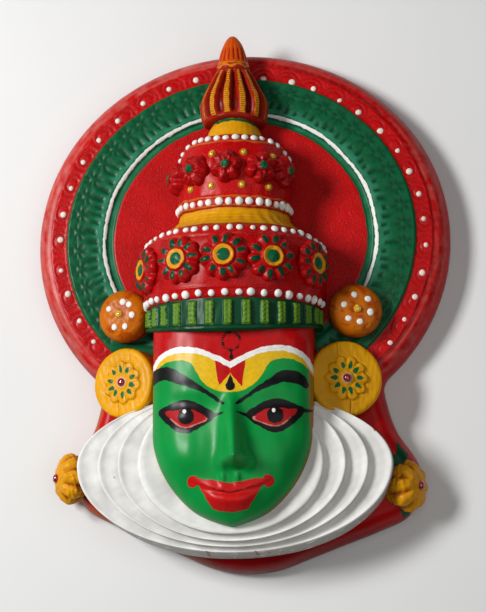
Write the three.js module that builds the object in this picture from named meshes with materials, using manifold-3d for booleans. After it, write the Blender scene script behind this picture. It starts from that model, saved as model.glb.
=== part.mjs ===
// A kathakali mask of painted wood, lying on its flat back.
// Millimetres. X runs to the viewer's right, Y towards the tip of the crown, Z out of the face.
// The origin is on the flat back, behind the centre of the round halo.

import * as THREE from 'three'
import { mergeVertices } from 'three/addons/utils/BufferGeometryUtils.js'
import Module from 'manifold-3d'

const wasm = await Module()
wasm.setup()

// Clearance between pieces that touch
const fitGap = 0.3

// Halo: a disc a little lower than wide, with rings carved in steps
const haloHalfWidth = 150
const haloHalfHeight = 140.5
const rimWidth = 11.5
const bandWidth = 12.5
const greenRingWidth = 28.5
const channelWidth = 6
const stepSlope = 1.4
const fieldHeight = 25
const channelHeight = 23.4
const greenRingHeight = 27
const bandHeight = 25
const rimHeight = 24
const edgeHeight = 5
const backChamfer = 1.5
const haloSegments = 45

// Apron below the halo
const apronHeight = 23
const apronRounding = 10
const apronTopHalf = 62
const apronTopY = -62
const waistHalf = 101
const waistY = -112
const flareHalf = 124
const flareY = -171
const cornerHalf = 116
const cornerY = -194
const hemHalf = 71
const hemY = -215.5
const apronBottomY = -238
const apronLean = 0.03
const apronShift = 2.5
const apronPoints = 44

// The crown, face, collar and ear pieces sit a little left of the halo's middle
const headX = -2

// Crown: circular tiers, squashed in depth, about an axis in front of the board
const crownAxisHeight = 36
const crownSquash = 0.86
const drumRadius = 62
const drumBottomY = -70
const drumFrontDrop = 8
const drumTopY = -56
const drumRimShare = 0.2
const lowerRowY = -51.5
const lowerTierRadius = 66.5
const lowerTierY = -28
const lowerShoulderRadius = 62.5
const lowerShoulderY = -8
const neckBottomRadius = 44.5
const neckTopRadius = 40
const neckBottomY = 2.5
const neckTopY = 12
const upperRowY = 16
const upperTierRadius = 41.5
const upperTierY = 42
const upperShoulderRadius = 35
const upperShoulderY = 62.5
const topNeckRadius = 19
const topNeckBottomY = 69.5
const crownTopY = 79
const crownSegments = 32

// Rosettes of the lower tier, bosses of the upper tier and bars on the drum
const rosetteAngles = [-62.5, -28.5, 0.5, 29, 62.5]
const rosetteRadius = 16.5
const rosetteY = -28
const rosetteRise = 4.5
const rosettePetals = 10
const bossAngles = [-72, -36, -1.5, 32.5, 63]
const bossRadius = 10.5
const bossY = 39.5
const bossRise = 6
const bossLobes = 6
const barCount = 30
const barRise = 1.8

// Finial
const finialLean = -1.6
const bulbRadius = 24.2
const bulbBottomRadius = 21.5
const bulbY = 91
const bulbRibs = 13
const ribDepth = 1.8
const collarRadius = 10.6
const collarY = 123
const collarLip = 0.7
const tipY = 147.5

// Face block
const faceHalfWidth = 55.5
const faceCentreX = 1.5
const faceTopY = drumBottomY - fitGap
const cheekY = -146
const chinY = -209
const jawPower = 1.75
const chinTipHalf = 1.5
const faceEdgeHeight = 57
const foreheadRise = 23
const jawRise = 15
const faceTurn = 0.07
const tuckDepth = 3
const tuckReach = 14
const browY = -120
const browRise = 1.5
const eyeX = 30
const eyeY = -134
const eyeHalf = 12
const eyeRise = 5
const socketDepth = 4
const bridgeY = -118
const noseTipY = -163
const noseRise = 17
const noseTopRise = 2.5
const noseTopHalf = 7
const noseTipHalf = 9.5
const nostrilX = 11.5
const nostrilRise = 7.5
const mouthY = -188.5
const mouthHalf = 25
const smileRise = 7
const upperLipRise = 3.5
const lowerLipRise = 4.2
const chinRise = 3.5
const foreheadRows = 4
const noseRows = 9
const jawRows = 13
const faceRows = foreheadRows + noseRows + jawRows
const faceColumns = 20

// Chutti collar: four stepped layers, each an oval about one centre
const chuttiCentreY = -164.5
const chuttiFootHeight = 20
const collarInset = 14
const chuttiHalfWidth = flareHalf - collarInset
const chuttiDepth = 60.5
const chuttiReach = 50
const chuttiEdgeHeight = 43
const chuttiDraft = 3.5
const layerInsets = [16, 31, 46]
const layerHalfWidths = layerInsets.map((inset) => chuttiHalfWidth - inset)
const layerDepths = [57, 53.5, 49]
const layerRise = 2.6
const layerSlope = 2.6
const chuttiSegments = 40

// Ear discs, ear domes and side flowers
const discX = 79
const discY = -105.5
const discHeight = 40
const discRadiusRight = 26.4
const discRadiusLeft = 24.8
const discThickness = 34
const discCant = 22
const discPetals = 10
const discPetalRadius = 17
const discPetalRise = 1.2
const domeX = 80.5
const domeY = -57
const domeHeight = 26
const domeRadius = 18.8
const domeRise = 17
const domeCant = 13
const domeShift = 3
const domeSegments = 18
const flowerInset = 7
const flowerBelowFlare = 4
const flowerX = flareHalf - flowerInset
const flowerY = flareY - flowerBelowFlare
const flowerHeight = 19
const flowerRadius = 18
const flowerRise = 13
const flowerCant = 62
const flowerPetals = 8
const flowerDrop = 4

// Glass stones
const discGemRadius = 3.2
const domeGemRadius = 4
const flowerGemRadius = 3.4
const crownGemRadius = 2.1
const crownGemSink = 0.6
const gemAnglesAbove = [-17, 16, 52]
const gemAnglesBelow = [-44, -17, 14, 44]
const gemRowAboveY = 52
const gemRowBelowY = 27
const gemSides = 6

const radians = THREE.MathUtils.degToRad
const mix = THREE.MathUtils.lerp
const ease = THREE.MathUtils.smoothstep

// Closed solids

// One closed body from a geometry, with its faces turned outwards.
function solidOf(geometry) {
  const bare = geometry.clone()
  bare.deleteAttribute('normal')
  bare.deleteAttribute('uv')
  const merged = mergeVertices(bare, 1e-3)
  const corners = merged.index.array
  const kept = []
  for (let i = 0; i < corners.length; i += 3) {
    const [a, b, c] = [corners[i], corners[i + 1], corners[i + 2]]
    if (a !== b && b !== c && c !== a) kept.push(a, b, c)
  }
  const places = merged.attributes.position.array
  if (signedVolume(places, kept) < 0) kept.reverse()
  const mesh = new wasm.Mesh({
    numProp: 3,
    vertProperties: Float32Array.from(places),
    triVerts: Uint32Array.from(kept),
  })
  return new wasm.Manifold(mesh)
}

function signedVolume(places, corners) {
  const at = (k) => new THREE.Vector3().fromArray(places, 3 * k)
  let sum = 0
  for (let i = 0; i < corners.length; i += 3) {
    sum += at(corners[i]).dot(at(corners[i + 1]).cross(at(corners[i + 2])))
  }
  return sum / 6
}

function geometryOf(solid) {
  const cut = solid.getMesh()
  const geometry = new THREE.BufferGeometry()
  const places = new Float32Array(3 * cut.numVert)
  for (let i = 0; i < cut.numVert; i++) {
    for (let k = 0; k < 3; k++) places[3 * i + k] = cut.vertProperties[i * cut.numProp + k]
  }
  geometry.setAttribute('position', new THREE.BufferAttribute(places, 3))
  geometry.setIndex([...cut.triVerts])
  geometry.computeVertexNormals()
  return geometry
}

// A closed skin through rings of the same number of points, the first and last closed to a centre point.
function loft(rings, bottomCentre, topCentre) {
  const count = rings[0].length
  const places = rings.flat().flatMap((p) => [p.x, p.y, p.z])
  places.push(bottomCentre.x, bottomCentre.y, bottomCentre.z)
  places.push(topCentre.x, topCentre.y, topCentre.z)
  const bottom = rings.length * count
  const top = bottom + 1
  const corners = []
  for (let i = 0; i < count; i++) {
    const next = (i + 1) % count
    corners.push(bottom, next, i)
    for (let k = 0; k + 1 < rings.length; k++) {
      const low = k * count
      const high = low + count
      corners.push(low + i, low + next, high + next)
      corners.push(low + i, high + next, high + i)
    }
    const last = (rings.length - 1) * count
    corners.push(last + i, last + next, top)
  }
  const geometry = new THREE.BufferGeometry()
  geometry.setAttribute('position', new THREE.Float32BufferAttribute(places, 3))
  geometry.setIndex(corners)
  return geometry
}

function placed(geometry, x, y, z, turnY = 0) {
  const moved = geometry.clone()
  moved.rotateY(radians(turnY))
  moved.translate(x, y, z)
  return moved
}

// A turned form about the Z axis from [radius, height] pairs that start and end on the axis.
function turnedUp(profile, segments) {
  const points = profile.map(([radius, height]) => new THREE.Vector2(radius, height))
  const geometry = new THREE.LatheGeometry(points, segments)
  geometry.rotateX(Math.PI / 2)
  return geometry
}

// Moves every point of a geometry by a rule.
function shaped(geometry, rule) {
  const places = geometry.attributes.position
  const point = new THREE.Vector3()
  for (let i = 0; i < places.count; i++) {
    point.fromBufferAttribute(places, i)
    rule(point)
    places.setXYZ(i, point.x, point.y, point.z)
  }
  return geometry
}

// Backboard

function haloProfile(grow) {
  const bandInner = haloHalfWidth - rimWidth - bandWidth
  const ringInner = bandInner - greenRingWidth
  const field = ringInner - channelWidth
  const profile = [
    [0, 0],
    [haloHalfWidth - backChamfer + grow, 0],
    [haloHalfWidth + grow, edgeHeight],
  ]
  const roundSteps = 3
  for (let i = 1; i <= roundSteps; i++) {
    const turn = (i / roundSteps) * (Math.PI / 2)
    const radius = haloHalfWidth - rimWidth * (1 - Math.cos(turn))
    profile.push([radius + grow, mix(edgeHeight, rimHeight, Math.sin(turn)) + grow])
  }
  profile.push([haloHalfWidth - rimWidth - stepSlope, bandHeight + grow])
  profile.push([bandInner + stepSlope, bandHeight + grow])
  profile.push([bandInner - stepSlope / 2, greenRingHeight + grow])
  profile.push([ringInner + stepSlope, greenRingHeight + grow])
  profile.push([ringInner - stepSlope / 2, channelHeight + grow])
  profile.push([field + stepSlope, channelHeight + grow])
  profile.push([field, fieldHeight + grow])
  profile.push([0, fieldHeight + grow])
  return profile
}

function haloGeometry(grow) {
  return turnedUp(haloProfile(grow), haloSegments).scale(1, haloHalfHeight / haloHalfWidth, 1)
}

// The apron's outline, counter-clockwise from the top left shoulder.
function apronOutline() {
  const half = [
    [apronTopHalf, apronTopY],
    [mix(apronTopHalf, waistHalf, 0.9), mix(apronTopY, waistY, 0.62)],
    [waistHalf, waistY],
    [mix(waistHalf, flareHalf, 0.32), mix(waistY, flareY, 0.44)],
    [mix(waistHalf, flareHalf, 0.86), mix(waistY, flareY, 0.74)],
    [flareHalf, flareY],
    [cornerHalf, cornerY],
    [mix(cornerHalf, hemHalf, 0.45), mix(cornerY, hemY, 0.52)],
    [hemHalf, hemY],
    [hemHalf * 0.62, mix(hemY, apronBottomY, 0.5)],
    [hemHalf * 0.33, mix(hemY, apronBottomY, 0.86)],
  ]
  const left = half.map(([x, y]) => new THREE.Vector3(-x, y, 0))
  const right = half.map(([x, y]) => new THREE.Vector3(x, y, 0)).reverse()
  const bottom = new THREE.Vector3(0, apronBottomY, 0)
  const curve = new THREE.CatmullRomCurve3([...left, bottom, ...right], true, 'centripetal')
  const outline = curve.getSpacedPoints(apronPoints).slice(0, apronPoints)
  // the whole apron leans: its right side hangs lower than its left
  return outline.map((point) => {
    const low = ease(waistY - point.y, 0, waistY - flareY)
    return new THREE.Vector3(point.x + apronShift * low, point.y - apronLean * low * point.x, 0)
  })
}

// The same outline moved inwards along its own normals and lifted.
function insetRing(outline, inset, height) {
  const count = outline.length
  return outline.map((point, i) => {
    const before = outline[(i + count - 1) % count]
    const after = outline[(i + 1) % count]
    const along = after.clone().sub(before).normalize()
    return new THREE.Vector3(point.x - along.y * inset, point.y + along.x * inset, height)
  })
}

function apronGeometry(grow) {
  const outline = apronOutline()
  const rings = [insetRing(outline, backChamfer - grow, 0), insetRing(outline, -grow, edgeHeight)]
  const roundSteps = 3
  for (let i = 1; i <= roundSteps; i++) {
    const turn = (i / roundSteps) * (Math.PI / 2)
    const inset = apronRounding * (1 - Math.cos(turn)) - grow
    rings.push(insetRing(outline, inset, mix(edgeHeight, apronHeight, Math.sin(turn)) + grow))
  }
  const middleY = (apronTopY + apronBottomY) / 2
  const top = new THREE.Vector3(0, middleY, apronHeight + grow)
  return loft(rings, new THREE.Vector3(0, middleY, 0), top)
}

function backboardSolid(grow) {
  return solidOf(haloGeometry(grow)).add(solidOf(apronGeometry(grow)))
}

// What the pieces in front are seated on: the board grown by the gap, with a deep block below it.
function seatSolid() {
  const block = new THREE.BoxGeometry(500, 600, 100)
  block.translate(0, 0, edgeHeight - 50)
  return backboardSolid(fitGap).add(solidOf(block))
}

// Crown

// Profile of the crown above the drum as [radius, height along Y].
function crownProfile() {
  return [
    [0, drumTopY],
    [drumRadius, drumTopY],
    [drumRadius + 2.5, lowerRowY],
    [lowerTierRadius, mix(lowerRowY, lowerTierY, 0.5)],
    [lowerTierRadius, mix(lowerTierY, lowerShoulderY, 0.3)],
    [lowerShoulderRadius, lowerShoulderY],
    [neckBottomRadius, neckBottomY],
    [neckTopRadius, mix(neckBottomY, neckTopY, 0.6)],
    [neckTopRadius, neckTopY],
    [upperTierRadius, upperRowY],
    [upperTierRadius, mix(upperRowY, upperTierY, 0.8)],
    [upperTierRadius - 1, mix(upperTierY, upperShoulderY, 0.4)],
    [upperShoulderRadius, upperShoulderY],
    [topNeckRadius + 3, topNeckBottomY],
    [topNeckRadius - 1, crownTopY],
    [0, crownTopY],
  ]
}

// Radius of the crown at a height.
function crownRadiusAt(y) {
  const profile = crownProfile()
  for (let i = 1; i + 1 < profile.length; i++) {
    const [lowRadius, lowY] = profile[i]
    const [highRadius, highY] = profile[i + 1]
    if (y <= highY) return mix(lowRadius, highRadius, (y - lowY) / (highY - lowY))
  }
  return topNeckRadius
}

// A turned form about the crown's own axis, squashed in depth.
function aroundCrown(profile, segments) {
  const points = profile.map(([radius, y]) => new THREE.Vector2(radius, y))
  const geometry = new THREE.LatheGeometry(points, segments)
  return shaped(geometry, (point) => {
    point.z = point.z * crownSquash + crownAxisHeight
  })
}

function tiersGeometry(grow) {
  const profile = crownProfile().map(([radius, y]) => [radius && radius + grow, y])
  return aroundCrown(profile, crownSegments)
}

// The drum: upright bars round it, over a plain rim that hangs lower at the front.
function drumGeometry(grow) {
  const rimTopY = mix(drumBottomY, drumTopY, drumRimShare)
  const profile = [
    [0, drumBottomY - grow],
    [drumRadius - 1, drumBottomY - grow],
    [drumRadius, drumBottomY + 1],
    [drumRadius, rimTopY],
    [drumRadius, rimTopY + 1],
    [drumRadius, drumTopY],
    [0, drumTopY],
  ]
  const steps = 3
  const segments = barCount * steps
  const geometry = new THREE.LatheGeometry(profile.map(([x, y]) => new THREE.Vector2(x, y)), segments)
  return shaped(geometry, (point) => {
    const radius = Math.hypot(point.x, point.z)
    if (radius < 1) {
      point.z = crownAxisHeight
      return
    }
    const turn = Math.atan2(point.x, point.z)
    const step = Math.round((turn / (2 * Math.PI)) * segments)
    const onBar = ((step % steps) + steps) % steps !== 0
    const raised = onBar || point.y < rimTopY + 0.5
    const wide = (radius + grow + (raised ? barRise : 0)) / radius
    const forward = Math.max(0, Math.cos(turn))
    const hang = 1 - ease(point.y, drumBottomY, drumTopY)
    point.x *= wide
    point.y -= drumFrontDrop * forward * hang
    point.z = point.z * wide * crownSquash + crownAxisHeight
  })
}

// Puts a form that points along Z onto the crown at an angle from the front, square to its surface.
function onCrown(geometry, angle, y, outward) {
  const radius = crownRadiusAt(y) + outward
  const lean = Math.atan((crownRadiusAt(y - 1) - crownRadiusAt(y + 1)) / 2)
  const turn = radians(angle)
  const facing = Math.atan2(Math.sin(turn) * crownSquash, Math.cos(turn))
  const x = radius * Math.sin(turn)
  const z = radius * Math.cos(turn) * crownSquash + crownAxisHeight
  return placed(geometry.clone().rotateX(-lean), x, y, z, THREE.MathUtils.radToDeg(facing))
}

// A petalled button: a low dome with a boss in its middle and a notched edge.
function rosetteGeometry(grow) {
  const radius = rosetteRadius + grow
  const rise = rosetteRise + grow
  const profile = [
    [0, -6],
    [radius, -6],
    [radius, rise * 0.4],
    [radius * 0.78, rise * 0.9],
    [radius * 0.42, rise * 0.7],
    [0, rise * 1.35],
  ]
  return petalled(turnedUp(profile, rosettePetals * 2), rosettePetals, radius * 0.6, 0.06)
}

// Pushes the parts of a turned form beyond a radius in and out into petals.
function petalled(geometry, petals, beyond, depth) {
  return shaped(geometry, (point) => {
    const across = Math.hypot(point.x, point.y)
    const wave = Math.cos(Math.atan2(point.y, point.x) * petals)
    const scale = across > beyond ? 1 + depth * wave : 1
    point.x *= scale
    point.y *= scale
  })
}

function bossGeometry(grow) {
  const radius = bossRadius + grow
  const rise = bossRise + grow
  const profile = [[0, -8], [radius, -8], [radius, rise * 0.3], [radius * 0.7, rise * 0.85], [0, rise * 1.15]]
  return petalled(turnedUp(profile, bossLobes * 2), bossLobes, radius * 0.5, 0.06)
}

function crownSolid(grow) {
  let crown = solidOf(tiersGeometry(grow)).add(solidOf(drumGeometry(grow)))
  rosetteAngles.forEach((angle) => {
    crown = crown.add(solidOf(onCrown(rosetteGeometry(grow), angle, rosetteY, 0)))
  })
  bossAngles.forEach((angle) => {
    crown = crown.add(solidOf(onCrown(bossGeometry(grow), angle, bossY, 0)))
  })
  return crown
}

// Finial

function finialProfile() {
  const foot = crownTopY + fitGap
  return [
    [0, foot],
    [bulbBottomRadius, foot],
    [mix(bulbBottomRadius, bulbRadius, 0.8), mix(foot, bulbY, 0.45)],
    [bulbRadius, bulbY],
    [mix(bulbRadius, collarRadius, 0.15), mix(bulbY, collarY, 0.31)],
    [mix(bulbRadius, collarRadius, 0.34), mix(bulbY, collarY, 0.52)],
    [mix(bulbRadius, collarRadius, 0.63), mix(bulbY, collarY, 0.73)],
    [collarRadius, collarY - 1.5],
    [collarRadius + collarLip, collarY],
    [collarRadius - collarLip, collarY + 1.5],
    [collarRadius * 0.79, mix(collarY, tipY, 0.36)],
    [collarRadius * 0.48, mix(collarY, tipY, 0.7)],
    [collarRadius * 0.23, mix(collarY, tipY, 0.92)],
    [0, tipY],
  ]
}

function finialSolid() {
  const foot = crownTopY + fitGap
  const points = finialProfile().map(([radius, y]) => new THREE.Vector2(radius, y))
  const geometry = new THREE.LatheGeometry(points, bulbRibs * 2)
  return solidOf(shaped(geometry, (point) => {
    const radius = Math.hypot(point.x, point.z)
    const belly = ease(point.y, foot, mix(foot, bulbY, 0.3)) * (1 - ease(point.y, bulbY, collarY))
    const groove = 0.5 - 0.5 * Math.cos(Math.atan2(point.x, point.z) * bulbRibs)
    const scale = radius > 0 ? 1 - (ribDepth * belly * groove) / radius : 1
    const upward = (point.y - foot) / (tipY - foot)
    point.x = point.x * scale + finialLean * upward
    point.z = point.z * scale * crownSquash + crownAxisHeight
  }))
}

// Face

function faceHalfAt(y) {
  if (y > cheekY) return faceHalfWidth
  const down = Math.min(1, (cheekY - y) / (cheekY - chinY))
  return Math.max(chinTipHalf, faceHalfWidth * (1 - down ** jawPower) ** (1 / jawPower))
}

function bump(x, y, centreX, centreY, halfWide, halfHigh) {
  const across = (x - centreX) / halfWide
  const along = (y - centreY) / halfHigh
  return Math.exp(-(across * across + along * along))
}

// Height of the face over the back plane, x counted from its own middle line.
function faceHeight(x, y) {
  const side = Math.abs(x)
  const across = Math.min(1, side / faceHalfAt(y))
  const rise = mix(foreheadRise, jawRise, ease(cheekY - y, 15, cheekY - chinY))
  const rounded = faceEdgeHeight + rise * (1 - across ** 2.6) ** 0.5
  return rounded + eyeRelief(side, y) + noseRelief(x, y) + mouthRelief(x, y)
}

function eyeRelief(side, y) {
  const brow = browRise * bump(side, y, eyeX - 4, browY, 18, 6)
  const hollow = socketDepth * bump(side, y, eyeX - 1, eyeY, eyeHalf * 1.4, eyeHalf * 0.75)
  const ball = eyeRise * bump(side, y, eyeX, eyeY, eyeHalf, eyeHalf * 0.55)
  const cheek = 2.5 * bump(side, y, eyeX + 3, eyeY - 24, 15, 13)
  return brow - hollow + ball + cheek
}

function noseRelief(x, y) {
  const down = THREE.MathUtils.clamp((bridgeY - y) / (bridgeY - noseTipY), 0, 1)
  const underside = 1 - ease(noseTipY - y, 1.5, 9)
  const half = mix(noseTopHalf, noseTipHalf, down)
  const ridge = mix(noseTopRise, noseRise, down ** 1.4) * Math.exp(-(Math.abs(x / half) ** 2.4))
  const wings = nostrilRise * bump(Math.abs(x), y, nostrilX, noseTipY - 2.5, 5, 5.5)
  return ridge * underside + wings
}

// Lips along a line that rises towards the corners, on a low swelling, and the chin below them.
function mouthRelief(x, y) {
  const line = mouthY + smileRise * (x / mouthHalf) ** 2
  const reach = Math.exp(-((x / (mouthHalf * 0.88)) ** 6))
  const swelling = 4.5 * bump(x, y, 0, mouthY + 4, mouthHalf, 14)
  const upper = upperLipRise * reach * bump(0, y, 0, line + 4, 1, 3)
  const lower = lowerLipRise * reach * bump(0, y, 0, line - 6.5, 1, 4.5)
  const parting = 1.5 * reach * bump(0, y, 0, line, 1, 1.6)
  const chin = chinRise * bump(x, y, 0, chinY + 7, 15, 6)
  return swelling + upper + lower - parting + chin
}

// The headband passes under the drum, so its top edge keeps below the drum's front.
function tuckedUnderDrum(x, y, z) {
  const out = Math.min(drumRadius, Math.abs(x + faceCentreX))
  const drumFront = crownAxisHeight + crownSquash * Math.sqrt(drumRadius ** 2 - out ** 2)
  return mix(Math.min(z, drumFront - tuckDepth), z, ease(faceTopY - y, 0, tuckReach))
}

// Rows of the face from top to chin: few on the forehead, more over the eyes and nose, most on the jaw.
function faceRowY(row) {
  if (row <= foreheadRows) return mix(faceTopY, browY, row / foreheadRows)
  const below = row - foreheadRows
  if (below <= noseRows) return mix(browY, noseTipY, below / noseRows)
  return mix(noseTipY, chinY, (below - noseRows) / jawRows)
}

// The face block seen from the front, as a plain block with straight sides.
function faceBlockSolid(grow) {
  const right = []
  for (let r = 0; r <= faceRows; r++) {
    const y = faceRowY(r)
    right.push(new THREE.Vector2(faceHalfAt(y) + grow, r === faceRows ? y - grow : y))
  }
  const left = right.map((p) => new THREE.Vector2(-p.x, p.y)).reverse()
  const block = new THREE.ExtrudeGeometry(new THREE.Shape([...right, ...left]), { depth: 150, bevelEnabled: false })
  block.translate(faceCentreX, 0, 0)
  return solidOf(block)
}

// The carved face: a sheet of points across the front, closed by straight sides down to the back plane.
function faceSolid() {
  const width = faceColumns + 1
  const front = []
  for (let r = 0; r <= faceRows; r++) {
    const y = faceRowY(r)
    for (let c = 0; c <= faceColumns; c++) {
      const spread = (2 * c) / faceColumns - 1
      const x = Math.sign(spread) * Math.abs(spread) ** 1.12 * faceHalfAt(y)
      const onBorder = r === faceRows || c === 0 || c === faceColumns
      const z = tuckedUnderDrum(x, y, onBorder ? faceEdgeHeight : faceHeight(x, y))
      front.push(new THREE.Vector3(faceCentreX + x + faceTurn * (z - faceEdgeHeight), y, z))
    }
  }
  const corners = []
  for (let r = 0; r < faceRows; r++) {
    for (let c = 0; c < faceColumns; c++) {
      const a = r * width + c
      corners.push(a, a + width, a + width + 1, a, a + width + 1, a + 1)
    }
  }
  // round the border: down the left, along the chin, up the right, back along the top
  const border = []
  for (let r = 0; r < faceRows; r++) border.push(r * width)
  for (let c = 0; c < faceColumns; c++) border.push(faceRows * width + c)
  for (let r = faceRows; r > 0; r--) border.push(r * width + faceColumns)
  for (let c = faceColumns; c > 0; c--) border.push(c)
  const foot = border.map((k) => new THREE.Vector3(front[k].x, front[k].y, 0))
  const middle = new THREE.Vector3(faceCentreX, mix(faceTopY, chinY, 0.4), 0)
  const places = [...front, ...foot, middle]
  const last = places.length - 1
  border.forEach((k, i) => {
    const next = (i + 1) % border.length
    const low = front.length + i
    const lowNext = front.length + next
    corners.push(k, low, lowNext, k, lowNext, border[next], low, last, lowNext)
  })
  const geometry = new THREE.BufferGeometry()
  geometry.setAttribute('position', new THREE.Float32BufferAttribute(places.flatMap((p) => [p.x, p.y, p.z]), 3))
  geometry.setIndex(corners)
  return solidOf(geometry)
}

// Chutti collar

// An oval ring about the collar's centre, lower and upper halves of their own height.
function ovalRing(half, depth, reach, height) {
  const ring = []
  for (let i = 0; i < chuttiSegments; i++) {
    const turn = (i / chuttiSegments) * 2 * Math.PI
    const up = Math.sin(turn)
    const y = chuttiCentreY + up * (up < 0 ? depth : reach)
    ring.push(new THREE.Vector3(half * Math.cos(turn), y, height))
  }
  return ring
}

function chuttiSolid(grow) {
  const draft = chuttiDraft
  const rings = [
    ovalRing(chuttiHalfWidth + grow, chuttiDepth + draft + grow, chuttiReach + grow, chuttiFootHeight),
    ovalRing(chuttiHalfWidth + grow, chuttiDepth + grow, chuttiReach + grow, chuttiEdgeHeight),
  ]
  let height = chuttiEdgeHeight + grow
  layerHalfWidths.forEach((half, i) => {
    const depth = layerDepths[i]
    rings.push(ovalRing(half + 1.2, depth + 0.8, chuttiReach, height + layerSlope))
    height += layerSlope + layerRise
    rings.push(ovalRing(half, depth, chuttiReach, height))
  })
  const bottomCentre = new THREE.Vector3(0, chuttiCentreY, chuttiFootHeight)
  return solidOf(loft(rings, bottomCentre, new THREE.Vector3(0, chuttiCentreY, height)))
}

// Ear discs, ear domes and side flowers, made for the right side

function discGeometry(grow, discRadius) {
  const radius = discRadius + grow
  const petal = discPetalRadius
  const profile = [
    [0, -discThickness],
    [radius, -discThickness],
    [radius, -2.5],
    [radius - 2.5, grow],
    [petal + 1, grow],
    [petal - 0.6, discPetalRise + grow],
    [petal * 0.45, discPetalRise * 0.4 + grow],
    [petal * 0.36, discPetalRise + grow],
    [0, discPetalRise + grow],
  ]
  const disc = shaped(turnedUp(profile, discPetals * 3), (point) => {
    const onPetal = Math.abs(Math.hypot(point.x, point.y) - petal) < 1.5
    const notch = 0.5 - 0.5 * Math.cos(Math.atan2(point.y, point.x) * discPetals)
    const scale = onPetal ? 1 - 0.1 * notch : 1
    point.x *= scale
    point.y *= scale
  })
  return placed(disc, discX, discY, discHeight, discCant)
}

function domeGeometry() {
  const profile = [[0, -20], [domeRadius * 0.9, -20], [domeRadius * 0.94, 0]]
  profile.push([domeRadius, domeRise * 0.3])
  profile.push([domeRadius * 0.82, domeRise * 0.75], [domeGemRadius + 1, domeRise], [0, domeRise])
  return placed(turnedUp(profile, domeSegments), domeX, domeY, domeHeight, domeCant)
}

function flowerGeometry() {
  const profile = [[0, -14], [flowerRadius * 0.66, -14], [flowerRadius * 0.9, -2]]
  profile.push([flowerRadius * 0.94, flowerRise * 0.25], [flowerRadius * 0.74, flowerRise * 0.7])
  profile.push([flowerRadius * 0.42, flowerRise * 0.82], [flowerRadius * 0.34, flowerRise], [0, flowerRise])
  const flower = petalled(turnedUp(profile, flowerPetals * 3), flowerPetals, flowerRadius * 0.5, 0.07)
  return placed(flower, flowerX, flowerY, flowerHeight, flowerCant)
}

// A glass stone with its girdle at height zero and a flat back a little below it.
function gemGeometry(radius, sink) {
  const profile = [[0, -sink], [radius, -sink], [radius, radius * 0.3]]
  profile.push([radius * 0.55, radius * 0.75], [0, radius * 0.8])
  return turnedUp(profile, gemSides)
}

function gemOn(radius, lift, x, y, z, cant) {
  const gem = gemGeometry(radius, 0)
  gem.translate(0, 0, lift + fitGap)
  return placed(gem, x, y, z, cant)
}

// Assembly

const paint = {
  board: { color: 0xb01018, roughness: 0.4 },
  crown: { color: 0xb8141a, roughness: 0.38 },
  finial: { color: 0xc85a12, roughness: 0.42 },
  face: { color: 0x0f9a48, roughness: 0.35 },
  chutti: { color: 0xf2f1ec, roughness: 0.55 },
  disc: { color: 0xe0a010, roughness: 0.4 },
  dome: { color: 0xd0701c, roughness: 0.42 },
  flower: { color: 0xe09a14, roughness: 0.42 },
  redGlass: { color: 0x7c0614, roughness: 0.08 },
  yellowGlass: { color: 0xf0b010, roughness: 0.08 },
}

const mask = new THREE.Group()

function addPiece(name, solid, look) {
  const material = new THREE.MeshStandardMaterial({ ...look, metalness: 0 })
  const mesh = new THREE.Mesh(geometryOf(solid), material)
  mesh.name = name
  mask.add(mesh)
}

function cutBy(solid, cutters) {
  return cutters.reduce((rest, cutter) => rest.subtract(cutter), solid)
}

// A right-hand piece and its mirror image, the left higher by the drop and the right lower, then cut.
function addPair(name, solid, cutters, look, drop = 0, shift = 0) {
  const right = solid.translate([shift, -drop, 0])
  const left = solid.mirror([1, 0, 0]).translate([shift, drop, 0])
  addCut(`${name}_right`, right, cutters, look)
  addCut(`${name}_left`, left, cutters, look)
}

function addCut(name, solid, cutters, look) {
  addPiece(name, cutBy(solid, cutters).translate([headX, 0, 0]), look)
}

function rightDisc(grow) {
  return solidOf(discGeometry(grow, discRadiusRight))
}

function leftDisc(grow) {
  return solidOf(discGeometry(grow, discRadiusLeft)).mirror([1, 0, 0])
}

addPiece('backboard', backboardSolid(0), paint.board)

// The pieces of the head are worked out about their own middle and moved to it at the end.
const seat = seatSolid().translate([-headX, 0, 0])
const crownHull = crownSolid(fitGap)
const faceHull = faceBlockSolid(fitGap)
const discHulls = rightDisc(fitGap).add(leftDisc(fitGap))

addCut('crown', crownSolid(0), [seat], paint.crown)
addCut('finial', finialSolid(), [seat], paint.finial)
addCut('face', faceSolid(), [seat, crownHull], paint.face)
addCut('chutti', chuttiSolid(0), [seat, faceHull, discHulls], paint.chutti)
addCut('ear_disc_right', rightDisc(0), [seat, faceHull, crownHull], paint.disc)
addCut('ear_disc_left', leftDisc(0), [seat, faceHull, crownHull], paint.disc)
addPair('ear_dome', solidOf(domeGeometry()), [seat, crownHull, discHulls], paint.dome, 0, domeShift)
addPair('side_flower', solidOf(flowerGeometry()), [seat, chuttiSolid(fitGap)], paint.flower, flowerDrop)

const discGem = gemOn(discGemRadius, discPetalRise, discX, discY, discHeight, discCant)
const domeGem = gemOn(domeGemRadius, domeRise, domeX, domeY, domeHeight, domeCant)
const flowerGem = gemOn(flowerGemRadius, flowerRise, flowerX, flowerY, flowerHeight, flowerCant)
addPair('ear_disc_gem', solidOf(discGem), [], paint.redGlass)
addPair('ear_dome_gem', solidOf(domeGem), [], paint.yellowGlass, 0, domeShift)
addPair('side_flower_gem', solidOf(flowerGem), [], paint.redGlass, flowerDrop)

// Yellow stones between the bosses: one row above them and one below
const crownGemPlaces = [
  ...gemAnglesAbove.map((angle) => [angle, gemRowAboveY]),
  ...gemAnglesBelow.map((angle) => [angle, gemRowBelowY]),
]
crownGemPlaces.forEach(([angle, y], i) => {
  const gem = onCrown(gemGeometry(crownGemRadius, crownGemSink), angle, y, fitGap)
  addCut(`crown_gem_${i + 1}`, solidOf(gem), [crownHull], paint.yellowGlass)
})

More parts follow.
